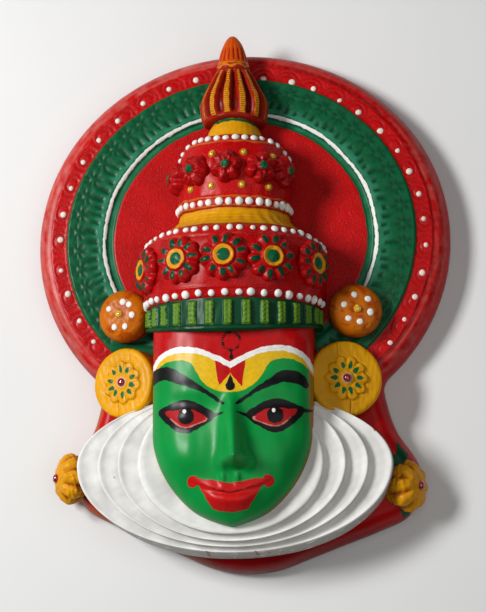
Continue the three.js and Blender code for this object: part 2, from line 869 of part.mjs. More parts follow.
export default mask
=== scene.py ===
"""A carved and painted kathakali wall mask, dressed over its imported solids.

Forms are worked out in millimetres in the solids' own frame and handed to Blender in metres.
A painted pattern is a field: the distance in millimetres inside its outline, kept on the points.
"""

import bpy
import numpy as np
from mathutils import Matrix, Vector

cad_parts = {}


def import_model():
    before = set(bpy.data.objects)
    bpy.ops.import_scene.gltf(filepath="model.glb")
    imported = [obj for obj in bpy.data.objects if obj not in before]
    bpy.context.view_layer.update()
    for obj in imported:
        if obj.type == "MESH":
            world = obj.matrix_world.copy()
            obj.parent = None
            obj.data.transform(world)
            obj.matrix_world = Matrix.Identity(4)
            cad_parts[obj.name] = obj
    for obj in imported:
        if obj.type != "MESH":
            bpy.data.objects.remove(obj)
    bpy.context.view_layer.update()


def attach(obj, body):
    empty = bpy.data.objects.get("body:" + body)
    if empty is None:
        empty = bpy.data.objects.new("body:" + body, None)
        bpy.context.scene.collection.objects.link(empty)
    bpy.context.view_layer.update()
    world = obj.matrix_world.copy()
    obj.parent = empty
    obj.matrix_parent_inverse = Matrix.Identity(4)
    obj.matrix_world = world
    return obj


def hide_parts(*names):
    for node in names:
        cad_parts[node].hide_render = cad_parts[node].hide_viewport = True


MM = 0.001
# The value of a painted field where nothing is painted
OUTSIDE = -9.0

# Colours, as linear values
RED = (0.48, 0.002, 0.003)
# Dark red painted into creases as painted shade
CREASE_SHADE_RED = (0.3, 0.002, 0.004)
# Pinker red painted on the rim as a painted sheen
SHEEN_RED = (0.55, 0.16, 0.13)
# Orange of the apron's lower left edge: worn paint and a painted edge highlight
WORN_LIT_ORANGE = (0.42, 0.06, 0.008)
LEAF_GREEN = (0.003, 0.105, 0.036)
MID_GREEN = (0.03, 0.21, 0.115)
FACE_GREEN = (0.001, 0.27, 0.045)
BAR_GREEN = (0.105, 0.23, 0.015)
WHITE = (0.84, 0.83, 0.79)
BLACK = (0.006, 0.005, 0.006)
BRIGHT_YELLOW = (0.76, 0.46, 0.008)
OCHRE = (0.68, 0.3, 0.003)
ORANGE = (0.56, 0.1, 0.003)
FINIAL_ORANGE = (0.6, 0.075, 0.003)
LIP_RED = (0.55, 0.006, 0.006)
WOOD = (0.4, 0.24, 0.11)
# Colour of the painted highlights on grains in the paint
SPECK_HIGHLIGHT_RED = (0.95, 0.2, 0.16)
# What painted shade multiplies a colour by, where the field "tone" is
SHADE_MULTIPLIER = (0.28, 0.28, 0.3)

# How the enamel shines under its thin coat
ENAMEL_SPECULAR = 0.07
COAT_ROUGHNESS = 0.27

# Halo and apron
HALO_HALF_WIDTH = 150.0
HALO_HALF_HEIGHT = 140.5
BAND_INNER = 126.0
RING_INNER = 97.5
FIELD_EDGE = 91.5
EDGE_HEIGHT = 5.0
ROUNDING = 11.5
APRON_THICK = 23.0
RIM_GROOVE = 139.3
# Points higher than this are on the board's front
FRONT_OVER = 8.0
# What counts as far in from the board's edge
FAR_IN = 20.0
# How far in and how high the rings of the back edge lie
BACK_EDGE = ((0.0, 3.0), (0.3, 1.4), (1.2, 0.4), (2.5, 0.0), (40.0, 0.0))
# The green ring's tooling: strokes across it and leaf rosettes
RING_STROKES = 104
RING_LEAVES = 54
LEAVES_AT = 118
# The white dots: angle of the first one, step between two, and distance from the middle
FIRST_DOT = {"left": -14.0, "right": 8.2}
DOT_STEP = {"left": 9.43, "right": 8.62}
LEFT_DOTS_AT = 131.5
RIGHT_DOTS_AT = (127.5, 135.5)
FADE_TOP = -92.0
FADE_BOTTOM = -112.0

# Crown
HEAD_X = -2.0
CROWN_AXIS = 36.0
CROWN_SQUASH = 0.86
# Millimetres to a radian, where an uneven field runs round the crown
TURN_MM = 60
DRUM_RADIUS = 62.0
DRUM_BOTTOM = -70.0
DRUM_TOP = -56.0
DRUM_DROP = 8.0
BAR_COUNT = 30
BAR_SHIFT = 0.042
# How far the bulb's foot arches up in front
ARCH = 3.2
# Height and half width of the raised cords of paint round the tiers
CORDS = ((-48.6, 0.45), (-11.2, 0.5), (13.0, 0.5), (19.4, 0.55), (60.2, 0.5))
# Rosettes and bosses: angle round the crown and height
LOWER_ROSETTES = ((-62.5, -30.5), (-28.5, -28.5), (0.5, -28), (29, -28.5), (62.5, -29))
ROSETTE_RADIUS = 16.5
ROSETTE_RISE = 4.8
ROSETTE_PETALS = 10
BOSS_RADIUS = 11.5
BOSS_RISE = 7.0
BOSS_LOBES = 6
CROWN_STONE = 2.1
CROWN_STONES = ((-17, 50.8), (16, 51.2), (49, 49.8), (-43, 27.2), (-17, 27.6), (14, 27.6), (43, 27.2))
UPPER_BOSSES = ((-72, 38.5), (-36, 39.8), (-1.5, 40.6), (32.5, 40.4), (63, 40))
# Rows of white beads: steps in degrees, the size of a bead, how far round the row reaches, and how
# much its ends hang
BEAD_ROWS = (
    {"y": -52.6, "step": 8.6, "first": 0.0, "radius": 2.7, "reach": 92, "sag": 0.0},
    {"y": -7.0, "step": 7.6, "first": 3.0, "radius": 2.3, "reach": 96, "sag": 7.0},
    {"y": 15.8, "step": 10.4, "first": 1.0, "radius": 2.7, "reach": 98, "sag": 0.0},
    {"y": 63.4, "step": 11.4, "first": -4.0, "radius": 2.5, "reach": 104, "sag": 12.0},
)

# Finial
FINIAL_RIBS = 13
FIRST_RIB = 1.5
FINIAL_LEAN = -1.6
# Millimetres to a radian, where an uneven field runs round the finial
FINIAL_MM = 20

# Face
FACE_X = 1.5
FACE_HALF = 55.5
FACE_TOP = -70.3
CHEEK_Y = -146.0
CHIN_Y = -209.0
FACE_EDGE = 57.0
FACE_BACK = 24.0
# Corners past the face's upper edge, where a painted band needn't end
OVER_FACE = [(70, -40), (-1, -40)]
FOREHEAD_RISE = 23.0
JAW_RISE = 15.0
FACE_TURN = 0.07
EYE_X = 30.4
EYE_Y = -134.5
NOSE_TOP_Y = -114.0
NOSE_TIP_Y = -164.5
# How far the nose's tip leans to the viewer's right
NOSE_LEAN = 3.4
MOUTH_Y = -187.7
MOUTH_HALF = 25.0

# Collar
CHUTTI_Y = -164.5
CHUTTI_EDGE = 43.0
CHUTTI_HALF = (110.0, 94.0, 79.0, 64.0)
CHUTTI_DEPTH = (60.5, 57.0, 53.5, 49.0)
CHUTTI_REACH = 50.0
CHUTTI_DRAFT = 3.5
LAYER_RISE = 2.6
LAYER_SLOPE = 2.6
CHUTTI_BACK = 21.0
# Half width and depth of the hidden hole in the middle
CHUTTI_HOLE = (30, 24)
# A lip's share across its layer and height over its edge, from the outer edge in
LIP = ((0.0, -0.9), (0.008, -0.4), (0.025, 0.0), (0.05, 0.2), (0.085, 0.22), (0.12, 0.08), (0.16, -0.06),
       (0.21, -0.18))
# Chips in the paint: place and radius
CHIPS = ((-20, -225.4, 1.5), (14, -225.2, 1.3), (22, -224.6, 0.8), (-84, -173, 0.6), (96, -142, 0.9))

# Ear discs, domes and side flowers
DISC_AT = (79.0, -105.5, 40.0)
DISC_RADII = {"left": 24.8, "right": 26.4}
DISC_CANT = 22.0
DISC_PETALS = 10
DISC_FLOWER_RADIUS = 15.4
DOME_AT = (80.5, -57.0, 26.0)
DOME_RADIUS = 18.8
DOME_CANT = 13.0
DOME_SHIFT = 3.0
FLOWER_AT = (117.0, -175.0, 19.0)
FLOWER_RADIUS = 18.0
FLOWER_CANT = 62.0
FLOWER_PETALS = 8
FLOWER_DROP = 4.0
FLOWER_EDGE = 111.0
FLOWER_BACK = 5.3
# Angles of the white dots on the domes
DOME_DOTS = {"left": (28, 105, 138, 186, 244, 293), "right": (-15, 43, 103, 164, 228, 280)}
DOME_DOTS_HEIGHT = 16.8
# Radius of each side stone and its height over the middle of its disc, dome or flower
DISC_STONE = (3.0, 1.5)
DOME_STONE = (2.9, 16.9)
FLOWER_STONE = (3.4, 13.0)
# Inner radius of the ring round a disc's stone, and the outer one as a share of it
DISC_SETTING = (3.1, 1.22)
# How deep a form sinks into the board
SEAT_DEPTH = 1.5

# First seed of each kind of piece that differs from its neighbours
SEEDS = {"halo_dots": 81, "halo_dot": 300, "crown_beads": 41, "crown_bead": 50, "rosette": 400,
         "boss": 420, "disc": 500, "dome": 520, "dome_dots": 540, "flower": 560}

# Camera, placed from the perspective of the photo
VIEW_TURN = 7.5
VIEW_DROP = 11.0
VIEW_DISTANCE = 1300.0
VIEW_TARGET = (4.6, -52.8, 40.0)
FOCAL_PIXELS = 1849.2
PHOTO_HEIGHT = 612
SENSOR = 36.0

# Lights: place and size in metres, and watts
KEY_LIGHT = ((-0.95, 0.22, 1.1), (0.5, 0.3), 23)
FILL_LIGHT = ((0.55, -0.25, 1.35), (1.4, 1.4), 6.5)
LIT_POINT = (0, -0.05, 0.04)
SKY_STRENGTH = 0.06
FLOOR_HALF = 4.0


# Number helpers


def smooth(low, high, value):
    t = np.clip((value - low) / (high - low), 0, 1)
    return t * t * (3 - 2 * t)


def band(value, start, full, fading, gone):
    """Rises from 0 to 1 between start and full, and falls again between fading and gone."""
    return smooth(start, full, value) * (1 - smooth(fading, gone, value))


def mix(a, b, t):
    return a + (b - a) * t


def bell(value, centre=0.0, half=1.0):
    return np.exp(-(((value - centre) / half) ** 2))


def hill(x, y, centre_x, centre_y, half_wide, half_high):
    return np.exp(-(((x - centre_x) / half_wide) ** 2 + ((y - centre_y) / half_high) ** 2))


def around(count):
    """Angles once round a circle, evenly spaced."""
    return np.arange(count) / count * 2 * np.pi


def unpainted(like):
    return np.full(np.shape(like), OUTSIDE)


def ripple(a, b, size, seed):
    """A smooth uneven field, mostly between -1 and 1, with waves of about the given size."""
    waves = 7
    rng = np.random.default_rng(seed)
    total = np.zeros(np.broadcast(a, b).shape)
    for _ in range(waves):
        turn = rng.uniform(0, 2 * np.pi)
        wave = 2 * np.pi / (size * rng.uniform(0.6, 1.6))
        total += np.sin((a * np.cos(turn) + b * np.sin(turn)) * wave + rng.uniform(0, 2 * np.pi))
    return total / 4


def to_segment(x, y, a, b):
    """The share of a segment's length where the nearest point to x, y lies, and the distance to it."""
    dx, dy = b[0] - a[0], b[1] - a[1]
    t = np.clip(((x - a[0]) * dx + (y - a[1]) * dy) / (dx * dx + dy * dy), 0, 1)
    return t, np.hypot(x - a[0] - t * dx, y - a[1] - t * dy)


def stroke(x, y, points):
    """Distance inside a brush stroke through points of x, y and half width."""
    best = np.full(np.shape(x), -1e3)
    for a, b in zip(points, points[1:]):
        t, gap = to_segment(x, y, a, b)
        best = np.maximum(best, mix(a[2], b[2], t) - gap)
    return best


def polygon(x, y, corners):
    """Distance inside a closed outline, negative outside it."""
    inside = np.zeros(np.shape(x), bool)
    nearest = np.full(np.shape(x), 1e3)
    for a, b in zip(corners, corners[1:] + corners[:1]):
        nearest = np.minimum(nearest, to_segment(x, y, a, b)[1])
        if a[1] != b[1]:
            slope = (b[0] - a[0]) / (b[1] - a[1])
            inside ^= ((a[1] > y) != (b[1] > y)) & (x < a[0] + (y - a[1]) * slope)
    return np.where(inside, nearest, -nearest)


def curve_through(points, steps, closed=False):
    """A rounded path through points, as rows of x and y."""
    p = np.array(points, float)
    count = len(p)
    path = []
    for i in range(count if closed else count - 1):
        p0 = p[(i - 1) % count] if closed or i else 2 * p[0] - p[1]
        p1, p2 = p[i], p[(i + 1) % count]
        p3 = p[(i + 2) % count] if closed or i + 2 < count else 2 * p2 - p1
        t = np.linspace(0, 1, steps, endpoint=False)[:, None]
        path.append(0.5 * (2 * p1 + (p2 - p0) * t + (2 * p0 - 5 * p1 + 4 * p2 - p3) * t**2
                           + (3 * p1 - p0 - 3 * p2 + p3) * t**3))
    if not closed:
        path.append(p[-1:])
    return np.concatenate(path)


def evenly(path, count, closed=False):
    """The same path with points an even distance apart."""
    whole = np.concatenate([path, path[:1]]) if closed else path
    along = np.concatenate([[0], np.cumsum(np.linalg.norm(np.diff(whole, axis=0), axis=1))])
    at = np.linspace(0, along[-1], count, endpoint=not closed)
    return np.stack([np.interp(at, along, whole[:, k]) for k in range(path.shape[1])], -1)


def softened(loop, window):
    """A closed loop with each point moved to the mean of its neighbours on both sides."""
    steps = range(-window, window + 1)
    return sum(np.roll(loop, k, axis=0) for k in steps) / len(steps)


# Closed shells


class Shell:
    """Points in millimetres, the faces between them, and the painted fields on them."""

    def __init__(self, points, faces, fields=None):
        self.points = np.asarray(points, float)
        self.faces = faces
        self.fields = fields or {}

    def moved(self, rule):
        return Shell(rule(self.points), self.faces, self.fields)

    def mirrored(self):
        flipped = [np.flip(f, 1) for f in self.faces]
        return Shell(self.points * (-1, 1, 1), flipped, self.fields)


def tube(rings, fields=None):
    """A closed shell through rings of points, each end closed at its middle."""
    rows, cols = rings.shape[:2]
    r, c = np.meshgrid(np.arange(rows - 1), np.arange(cols), indexing="ij")
    a = (r * cols + c).ravel()
    b = (r * cols + (c + 1) % cols).ravel()
    quads = np.stack([a, b, b + cols, a + cols], -1)
    k = np.arange(cols)
    last = (rows - 1) * cols
    start, end = rows * cols, rows * cols + 1
    caps = np.concatenate([
        np.stack([np.full(cols, start), (k + 1) % cols, k], -1),
        np.stack([np.full(cols, end), last + k, last + (k + 1) % cols], -1),
    ])
    points = np.concatenate([rings.reshape(-1, 3), rings[0].mean(0)[None], rings[-1].mean(0)[None]])
    kept = {}
    for name, field in (fields or {}).items():
        full = np.broadcast_to(field, (rows, cols))
        kept[name] = np.concatenate([full.ravel(), [full[0].mean(), full[-1].mean()]])
    return Shell(points, [quads, caps], kept)


def joined(shells):
    """Several shells without painted fields as one."""
    faces, offset = [], 0
    for shell in shells:
        faces += [f + offset for f in shell.faces]
        offset += len(shell.points)
    return Shell(np.concatenate([shell.points for shell in shells]), faces)


def outward(shell):
    """The same shell with its faces turned outwards."""
    volume = 0.0
    for f in shell.faces:
        a, b, c = shell.points[f[:, 0]], shell.points[f[:, 1]], shell.points[f[:, 2]]
        volume += np.einsum("ij,ij->", a, np.cross(b, c))
        if f.shape[1] == 4:
            volume += np.einsum("ij,ij->", a, np.cross(c, shell.points[f[:, 3]]))
    if volume < 0:
        return Shell(shell.points, [np.flip(f, 1) for f in shell.faces], shell.fields)
    return shell


def add_piece(name, shell, material, slot, *nodes):
    """Makes a Blender object of the shell, in place of the given nodes."""
    shell = outward(shell)
    mesh = bpy.data.meshes.new(name)
    faces = [face for group in shell.faces for face in group.tolist()]
    mesh.from_pydata((shell.points * MM).tolist(), [], faces)
    mesh.shade_smooth()
    for field, values in shell.fields.items():
        layer = mesh.attributes.new(field, "FLOAT", "POINT")
        layer.data.foreach_set("value", values.astype(np.float32))
    mesh.materials.append(material)
    piece = bpy.data.objects.new(name, mesh)
    bpy.context.scene.collection.objects.link(piece)
    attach(piece, "root")
    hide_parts(*nodes)


# Materials


class Graph:
    """A material's node tree, filled from short calls."""

    def __init__(self, name):
        self.material = bpy.data.materials.new(name)
        self.material.use_nodes = True
        self.tree = self.material.node_tree
        self.tree.nodes.clear()
        self.place = self.node("ShaderNodeTexCoord").outputs["Object"]

    def node(self, kind, settings=None, **sockets):
        made = self.tree.nodes.new(kind)
        for key, value in (settings or {}).items():
            setattr(made, key, value)
        for key, value in sockets.items():
            self.feed(made.inputs[key.replace("_", " ")], value)
        return made

    def feed(self, socket, value):
        if isinstance(value, bpy.types.NodeSocket):
            self.tree.links.new(value, socket)
        elif socket.type == "RGBA":
            socket.default_value = (*value, 1.0)
        else:
            socket.default_value = value

    def math(self, operation, a, b=0.0):
        made = self.node("ShaderNodeMath", {"operation": operation})
        self.feed(made.inputs[0], a)
        self.feed(made.inputs[1], b)
        return made.outputs[0]

    def noise(self, scale, detail=3.0, stretch=(1, 1, 1), roughness=0.5):
        moved = self.node("ShaderNodeMapping", Vector=self.place, Scale=stretch).outputs[0]
        made = self.node("ShaderNodeTexNoise", Vector=moved, Scale=scale, Detail=detail,
                         Roughness=roughness)
        return made.outputs["Fac"]

    def spread(self, value, low, high, to_low=0.0, to_high=1.0):
        made = self.node("ShaderNodeMapRange", Value=value, From_Min=low, From_Max=high)
        self.feed(made.inputs["To Min"], to_low)
        self.feed(made.inputs["To Max"], to_high)
        return made.outputs[0]

    def field(self, name):
        return self.node("ShaderNodeAttribute", {"attribute_name": name}).outputs["Fac"]

    def blend(self, factor, a, b, kind="MIX"):
        made = self.node("ShaderNodeMix", {"data_type": "RGBA", "blend_type": kind})
        self.feed(made.inputs[0], factor)
        self.feed(made.inputs[6], a)
        self.feed(made.inputs[7], b)
        return made.outputs[2]

    def finish(self, shader):
        out = self.node("ShaderNodeOutputMaterial")
        self.tree.links.new(shader.outputs[0], out.inputs["Surface"])
        return self.material


def darker(colour, share):
    return tuple(c * share for c in colour)


def specks(g, shade, height, depth):
    """Grains in the paint where the field "speckle" is positive: raised, and lightened by a painted
    highlight on each.
    """
    grains = g.node("ShaderNodeTexVoronoi", Vector=g.place, Scale=620.0).outputs["Distance"]
    clusters = g.spread(g.noise(240, 2.0), 0.38, 0.6)
    lumps = g.math("MULTIPLY", g.spread(grains, 0.12, 0.5, 1.0, 0.0), clusters)
    lumps = g.math("MULTIPLY", lumps, g.field("speckle"))
    raised = g.math("ADD", height, g.math("MULTIPLY", lumps, depth))
    # Painted highlights: the grains are mixed towards a lighter red
    highlighted = g.blend(g.math("MULTIPLY", lumps, 0.2 * depth), shade, SPECK_HIGHLIGHT_RED)
    return highlighted, raised


def enamel(name, ground, layers=(), crease=None, crease_shade_colour=CREASE_SHADE_RED, stretch=(1, 1, 1), gloss=0.38,
           stroke_depth=0.10, speckle=0.0, coat=0.1, washes=()):
    """Brushed enamel: a ground colour, layers and washes over it where their fields are positive,
    painted shade where the field "tone" is, and painted shade in creases and cracks."""
    g = Graph(name)
    wobble = g.spread(g.noise(260, 2.0), 0.3, 0.7, -0.35, 0.35)
    strokes = g.noise(420, 4.0, stretch, 0.6)
    patches = g.noise(45, 3.0)
    shade = g.blend(g.spread(patches, 0.35, 0.68), darker(ground, 0.82), ground)
    height = g.math("MULTIPLY", strokes, stroke_depth)
    for field, colour in layers:
        inside = g.math("ADD", g.field(field), wobble)
        factor = g.spread(inside, -0.16, 0.16)
        tint = g.blend(g.spread(strokes, 0.3, 0.7), darker(colour, 0.8), colour)
        shade = g.blend(factor, shade, tint)
        height = g.math("ADD", height, g.math("MULTIPLY", factor, 0.1))
    for field, colour in washes:
        thickness = g.math("ADD", g.field(field), g.math("MULTIPLY", wobble, 0.3))
        shade = g.blend(g.spread(thickness, 0.12, 1.0), shade, colour)
    # Painted shade: the colour is darkened where the field "tone" is
    shaded = g.blend(1.0, shade, SHADE_MULTIPLIER, "MULTIPLY")
    shade = g.blend(g.spread(g.field("tone"), 0.0, 1.0), shade, shaded)
    # Painted shade in creases: the colour darkens where the crease field is positive
    if crease:
        deep = g.spread(g.math("ADD", g.field(crease), wobble), 0.0, 1.4)
        shade = g.blend(deep, shade, crease_shade_colour)
    if speckle:
        shade, height = specks(g, shade, height, speckle)
    streak = g.spread(strokes, 0.3, 0.75, gloss - 0.07, gloss + 0.13)
    bump = g.node("ShaderNodeBump", Height=height, Distance=MM, Strength=1.0)
    shader = g.node("ShaderNodeBsdfPrincipled", Base_Color=shade, Roughness=streak, Normal=bump.outputs[0])
    shader.inputs["Specular IOR Level"].default_value = ENAMEL_SPECULAR
    shader.inputs["Coat Weight"].default_value = coat
    shader.inputs["Coat Roughness"].default_value = COAT_ROUGHNESS
    return g.finish(shader)


def glass_stone(name, colour):
    """A foil-backed stone: clear glass over a bright back."""
    g = Graph(name)
    depth = g.blend(g.spread(g.noise(700, 1.0), 0.35, 0.65), darker(colour, 0.45), colour)
    shader = g.node("ShaderNodeBsdfPrincipled", Base_Color=depth, Roughness=0.06)
    shader.inputs["IOR"].default_value = 1.55
    shader.inputs["Coat Weight"].default_value = 1.0
    shader.inputs["Coat Roughness"].default_value = 0.03
    return g.finish(shader)


# Backboard


def halo_radius(x, y):
    return np.hypot(x, y * HALO_HALF_WIDTH / HALO_HALF_HEIGHT)


def board_outline(count):
    """The outline of halo and apron together, evenly spaced."""
    half = [(62, -62), (97.1, -93), (101, -112), (108.4, -138), (120.8, -155.7), (124, -171),
            (116, -194), (95.8, -205.2), (71, -215.5), (44, -226.7), (23.4, -234.9)]
    left = [(-x, y) for x, y in half]
    loop = curve_through(half + [(0, -238)] + left[::-1], 30)
    low = smooth(0, 59, -112 - loop[:, 1])
    loop += np.stack([2.5 * low, -0.03 * low * loop[:, 0]], -1)
    apron = loop[halo_radius(loop[:, 0], loop[:, 1]) > HALO_HALF_WIDTH]
    first = np.arctan2(apron[0, 0], apron[0, 1])
    last = np.arctan2(apron[-1, 0], apron[-1, 1])
    turns = np.linspace(last, first, 600)[1:-1]
    reach = 1 / np.hypot(np.sin(turns) / HALO_HALF_WIDTH, np.cos(turns) / HALO_HALF_HEIGHT)
    halo = np.stack([reach * np.sin(turns), reach * np.cos(turns)], -1)
    return softened(evenly(np.concatenate([apron, halo]), count, closed=True), 4)


def board_core(outline):
    """A smaller loop opposite the outline, point by point: rings are drawn between the two."""
    core_half_width = 88
    on_halo = halo_radius(outline[:, 0], outline[:, 1]) < HALO_HALF_WIDTH + 0.5
    core = outline * core_half_width / HALO_HALF_WIDTH
    low = np.flatnonzero(~on_halo)
    start, end = core[low[0]], core[low[-1]]
    right = [(66, -95), (70, -130), (62, -165), (36, -186)]
    left = [(-x, y) for x, y in right[::-1]]
    path = curve_through([start, *right, (0, -192), *left, end], 20)
    core[low] = evenly(path, len(low))
    return softened(core, 6)


def spaced(turn, rho, count, shift=0.0):
    """Distance along the ring to the nearest of count marks, and the number of that mark."""
    place = turn / (2 * np.pi) * count - shift
    number = np.round(place)
    return (place - number) * 2 * np.pi * rho / count, number


def ring_strokes(x, y, rho, turn):
    """Short strokes cut across the green ring, side by side."""
    along, number = spaced(turn + 0.016 * ripple(x, y, 30, 4), rho, RING_STROKES)
    length = 8.5 + 2.5 * np.sin(number * 2.4) + np.where(x < 0, 2.0, 0)
    inner = 102.6 + 1.2 * np.sin(number * 1.7)
    taper = band(rho, inner, inner + 1.5, inner + 0.45 * length, inner + length)
    return taper * bell(along, 0, 1.6 - 0.4 * np.sin(number))


def leaf_rosettes(rho, turn):
    """Round patches outside the strokes, and the veins cut into them."""
    along, number = spaced(turn, rho, RING_LEAVES)
    outwards = rho - LEAVES_AT
    away = np.hypot(along, outwards * 0.9)
    petals = 0.5 + 0.5 * np.cos((np.arctan2(along, outwards) + number) * 7)
    patch = np.exp(-((away / (5.6 + 0.9 * petals)) ** 4))
    return patch, patch * (0.35 + 0.65 * petals) * smooth(1.2, 2.4, away)


def scrolls(rho, turn):
    """Two rings cut round each white dot of the red band."""
    right = turn > 0
    count = np.where(right, 360 / DOT_STEP["right"], 360 / DOT_STEP["left"])
    first = np.where(right, FIRST_DOT["right"] / DOT_STEP["right"], FIRST_DOT["left"] / DOT_STEP["left"])
    along, _ = spaced(turn, rho, count, first)
    dots_at = np.where(right, mix(*RIGHT_DOTS_AT, np.clip(turn / 2.2, 0, 1)), LEFT_DOTS_AT)
    away = np.hypot(along * 0.85, rho - dots_at)
    rings = bell(away, 4.2, 0.75) + 0.8 * bell(away, 7.3, 0.8)
    return rings * band(rho, 126.8, 128, 136.5, 138)


def tooling(x, y):
    """Cut patterns of the halo: strokes, veins, scrolls and the patches round the veins."""
    rho = halo_radius(x, y) + 0.4 * ripple(x, y, 50, 3)
    turn = np.arctan2(x, y)
    fade = smooth(FADE_BOTTOM, FADE_TOP, y)
    patch, veins = leaf_rosettes(rho, turn)
    return ring_strokes(x, y, rho, turn) * fade, veins * fade, scrolls(rho, turn) * fade, patch * fade


def rim_groove(x, y):
    """The groove inside the rim, which fades out on the left."""
    return bell(halo_radius(x, y) + 0.5 * ripple(x, y, 24, 6), RIM_GROOVE, 0.85) * smooth(-20, 60, x)


def ring_pattern(x, y):
    """Depth of the tooling on the halo's two bands, and of the groove inside the rim."""
    strokes, veins, arcs, _ = tooling(x, y)
    groove = rim_groove(x, y) * smooth(FADE_BOTTOM, FADE_TOP, y)
    return 0.8 * strokes + 0.65 * veins + 0.7 * arcs + 0.9 * groove


def board_surface(x, y):
    """Height of the board's carved front over its flat back, away from the rounded edge."""
    steps = [(0, 25), (91.2, 25), (92.6, 24.0), (95.6, 24.0), (97.6, 26.3), (101, 27), (125.2, 27),
             (126.6, 25), (137, 25), (138.6, 24.2), (145, 24.6), (160, 24)]
    rings = np.interp(halo_radius(x, y), [s[0] for s in steps], [s[1] for s in steps])
    fade = smooth(FADE_BOTTOM, FADE_TOP, y)
    return mix(APRON_THICK, rings, fade) - ring_pattern(x, y)


def board_rings(count):
    """Rings of the board from its middle over the rounded edge to the back, and how far in each lies."""
    outline = board_outline(count)
    along = np.roll(outline, -1, axis=0) - np.roll(outline, 1, axis=0)
    along /= np.linalg.norm(along, axis=1)[:, None]
    inwards = np.stack([along[:, 1], -along[:, 0]], -1)
    core = board_core(outline)
    middle = np.array((0.0, -50.0))
    inner = outline + inwards * (ROUNDING + 0.5)
    from_middle = mix(middle, core[None], np.linspace(0.03, 1, 32)[:-1, None, None])
    to_edge = mix(core[None], inner[None], np.linspace(0, 1, 66)[:, None, None])
    flat = np.concatenate([from_middle, to_edge])
    front = board_surface(flat[..., 0], flat[..., 1])
    rows = [np.concatenate([flat, front[..., None]], -1)]
    insets = [FAR_IN] * len(flat)
    for turn in np.linspace(0, np.pi / 2, 13):
        inset = ROUNDING * (1 - np.sin(turn))
        ring = outline + inwards * inset
        z = mix(EDGE_HEIGHT, board_surface(ring[:, 0], ring[:, 1]), np.cos(turn))
        rows.append(np.column_stack([ring, z])[None])
        insets.append(inset)
    for inset, height in BACK_EDGE:
        ring = outline + inwards * inset
        rows.append(np.column_stack([ring, np.full(count, height)])[None])
        insets.append(0.0)
    return np.concatenate(rows), np.array(insets)[:, None]


def leaf_paint(x, y):
    """The dark green leaves on the apron behind the side flowers."""
    centre_x = 115.5
    half_wide, half_high = 9, 31
    leaf = unpainted(x)
    for side in (-1, 1):
        dy = y - FLOWER_AT[1] + side * FLOWER_DROP
        wide = half_wide * (1 - (dy / half_high) ** 2) + 1.5 * ripple(x, y, 9, 11)
        leaf = np.maximum(leaf, wide - np.abs(x - side * centre_x + 0.14 * side * dy))
    return leaf


def board_wear(x, y, z, rho, inset):
    """Where the rim is painted pinker as a painted sheen, where the apron's edge turns orange, partly worn
    paint and partly a painted highlight, and where the red is grainy.
    """
    on_apron = smooth(-100, -125, y)
    # Painted sheen: the rim is painted pinker, most on the viewer's left
    rim_sheen = smooth(136, 140, rho) * (1 - on_apron) * (0.62 + 0.38 * ripple(rho * 3, x * 0.4 + y, 12, 14))
    share = np.where(x < 0, 1.0, 0.62) * (0.75 + 0.25 * ripple(x, y, 60, 15))
    rim = 0.85 * rim_sheen * share * (1 - 0.8 * smooth(19, 12, z))
    # The apron's lower left edge is orange, partly worn paint and partly a painted highlight
    edge_wear_and_light = np.where(inset < 9, 5.2 - inset + 1.2 * ripple(x, y, 18, 13), OUTSIDE)
    edge_wear_and_light = edge_wear_and_light - 9 * (1 - on_apron) - np.where(x < -20, 0, 5)
    grains = 1 - smooth(89, 92, rho) + 0.35 * band(rho, 126, 127, 137, 139)
    low_right = smooth(0, -70, y) * (x > 0)
    grains = grains + 0.5 * band(rho, 97, 99, 125, 126) * low_right
    return {"rim": rim, "edge_wear_and_light": edge_wear_and_light, "speckle": np.clip(np.where(z > FRONT_OVER, grains, 0), 0, 1)}


def board_paint(rings, inset):
    """The green ring, the white line in it, the leaves, painted shade in the cuts, in the rim's groove and
    on the apron's lower end, and the wear and sheen.
    """
    x, y, z = rings[..., 0], rings[..., 1], rings[..., 2]
    rho = halo_radius(x, y) + 0.5 * ripple(x, y, 60, 5)
    front = z > FRONT_OVER
    on_apron = smooth(-100, -125, y)
    shown = np.where(front, y - mix(FADE_BOTTOM, FADE_TOP, 0.2), OUTSIDE)
    green = np.minimum(np.minimum(BAND_INNER + 0.3 - rho, rho - FIELD_EDGE), shown)
    half_line = 1.2 + 0.25 * ripple(x, y, 25, 8)
    line = np.minimum(half_line - np.abs(rho - RING_INNER - 0.6), np.minimum(shown, y + 60))
    strokes, veins, arcs, patch = tooling(x, y)
    on_green = smooth(-0.5, 0.5, green)
    # Painted shade in the cuts of the tooling on the green and red bands
    tone = on_green * (0.8 * strokes + 0.22 * patch + 0.5 * veins) + (1 - on_green) * 0.35 * arcs
    # Painted shade in the rim's groove; the edge and back are darker too
    tone = np.where(front, tone + 0.9 * rim_groove(x, y) * (1 - on_apron), 0.2)
    # Painted shadow over the apron's lower end
    tone = tone + 0.7 * on_apron * smooth(-190, -225, y)
    pale = band(rho, 98, 98.8, 100, 112) + 0.6 * band(rho, 92, 94, 95.6, 96.4)
    pale = pale * (0.75 + 0.35 * ripple(x, y, 14, 16)) * (1 - 0.9 * strokes)
    pale = np.where(front, pale, 0) * on_green * (1 - smooth(-1.1, -0.3, line))
    leaf = np.where(front, leaf_paint(x, y), OUTSIDE)
    return {"green": green, "line": line, "leaf": leaf, "tone": np.clip(tone, 0, 1),
            "pale_green": np.clip(pale, 0, 1), **board_wear(x, y, z, rho, inset)}


def backboard():
    rings, inset = board_rings(720)
    return tube(rings, board_paint(rings, inset))


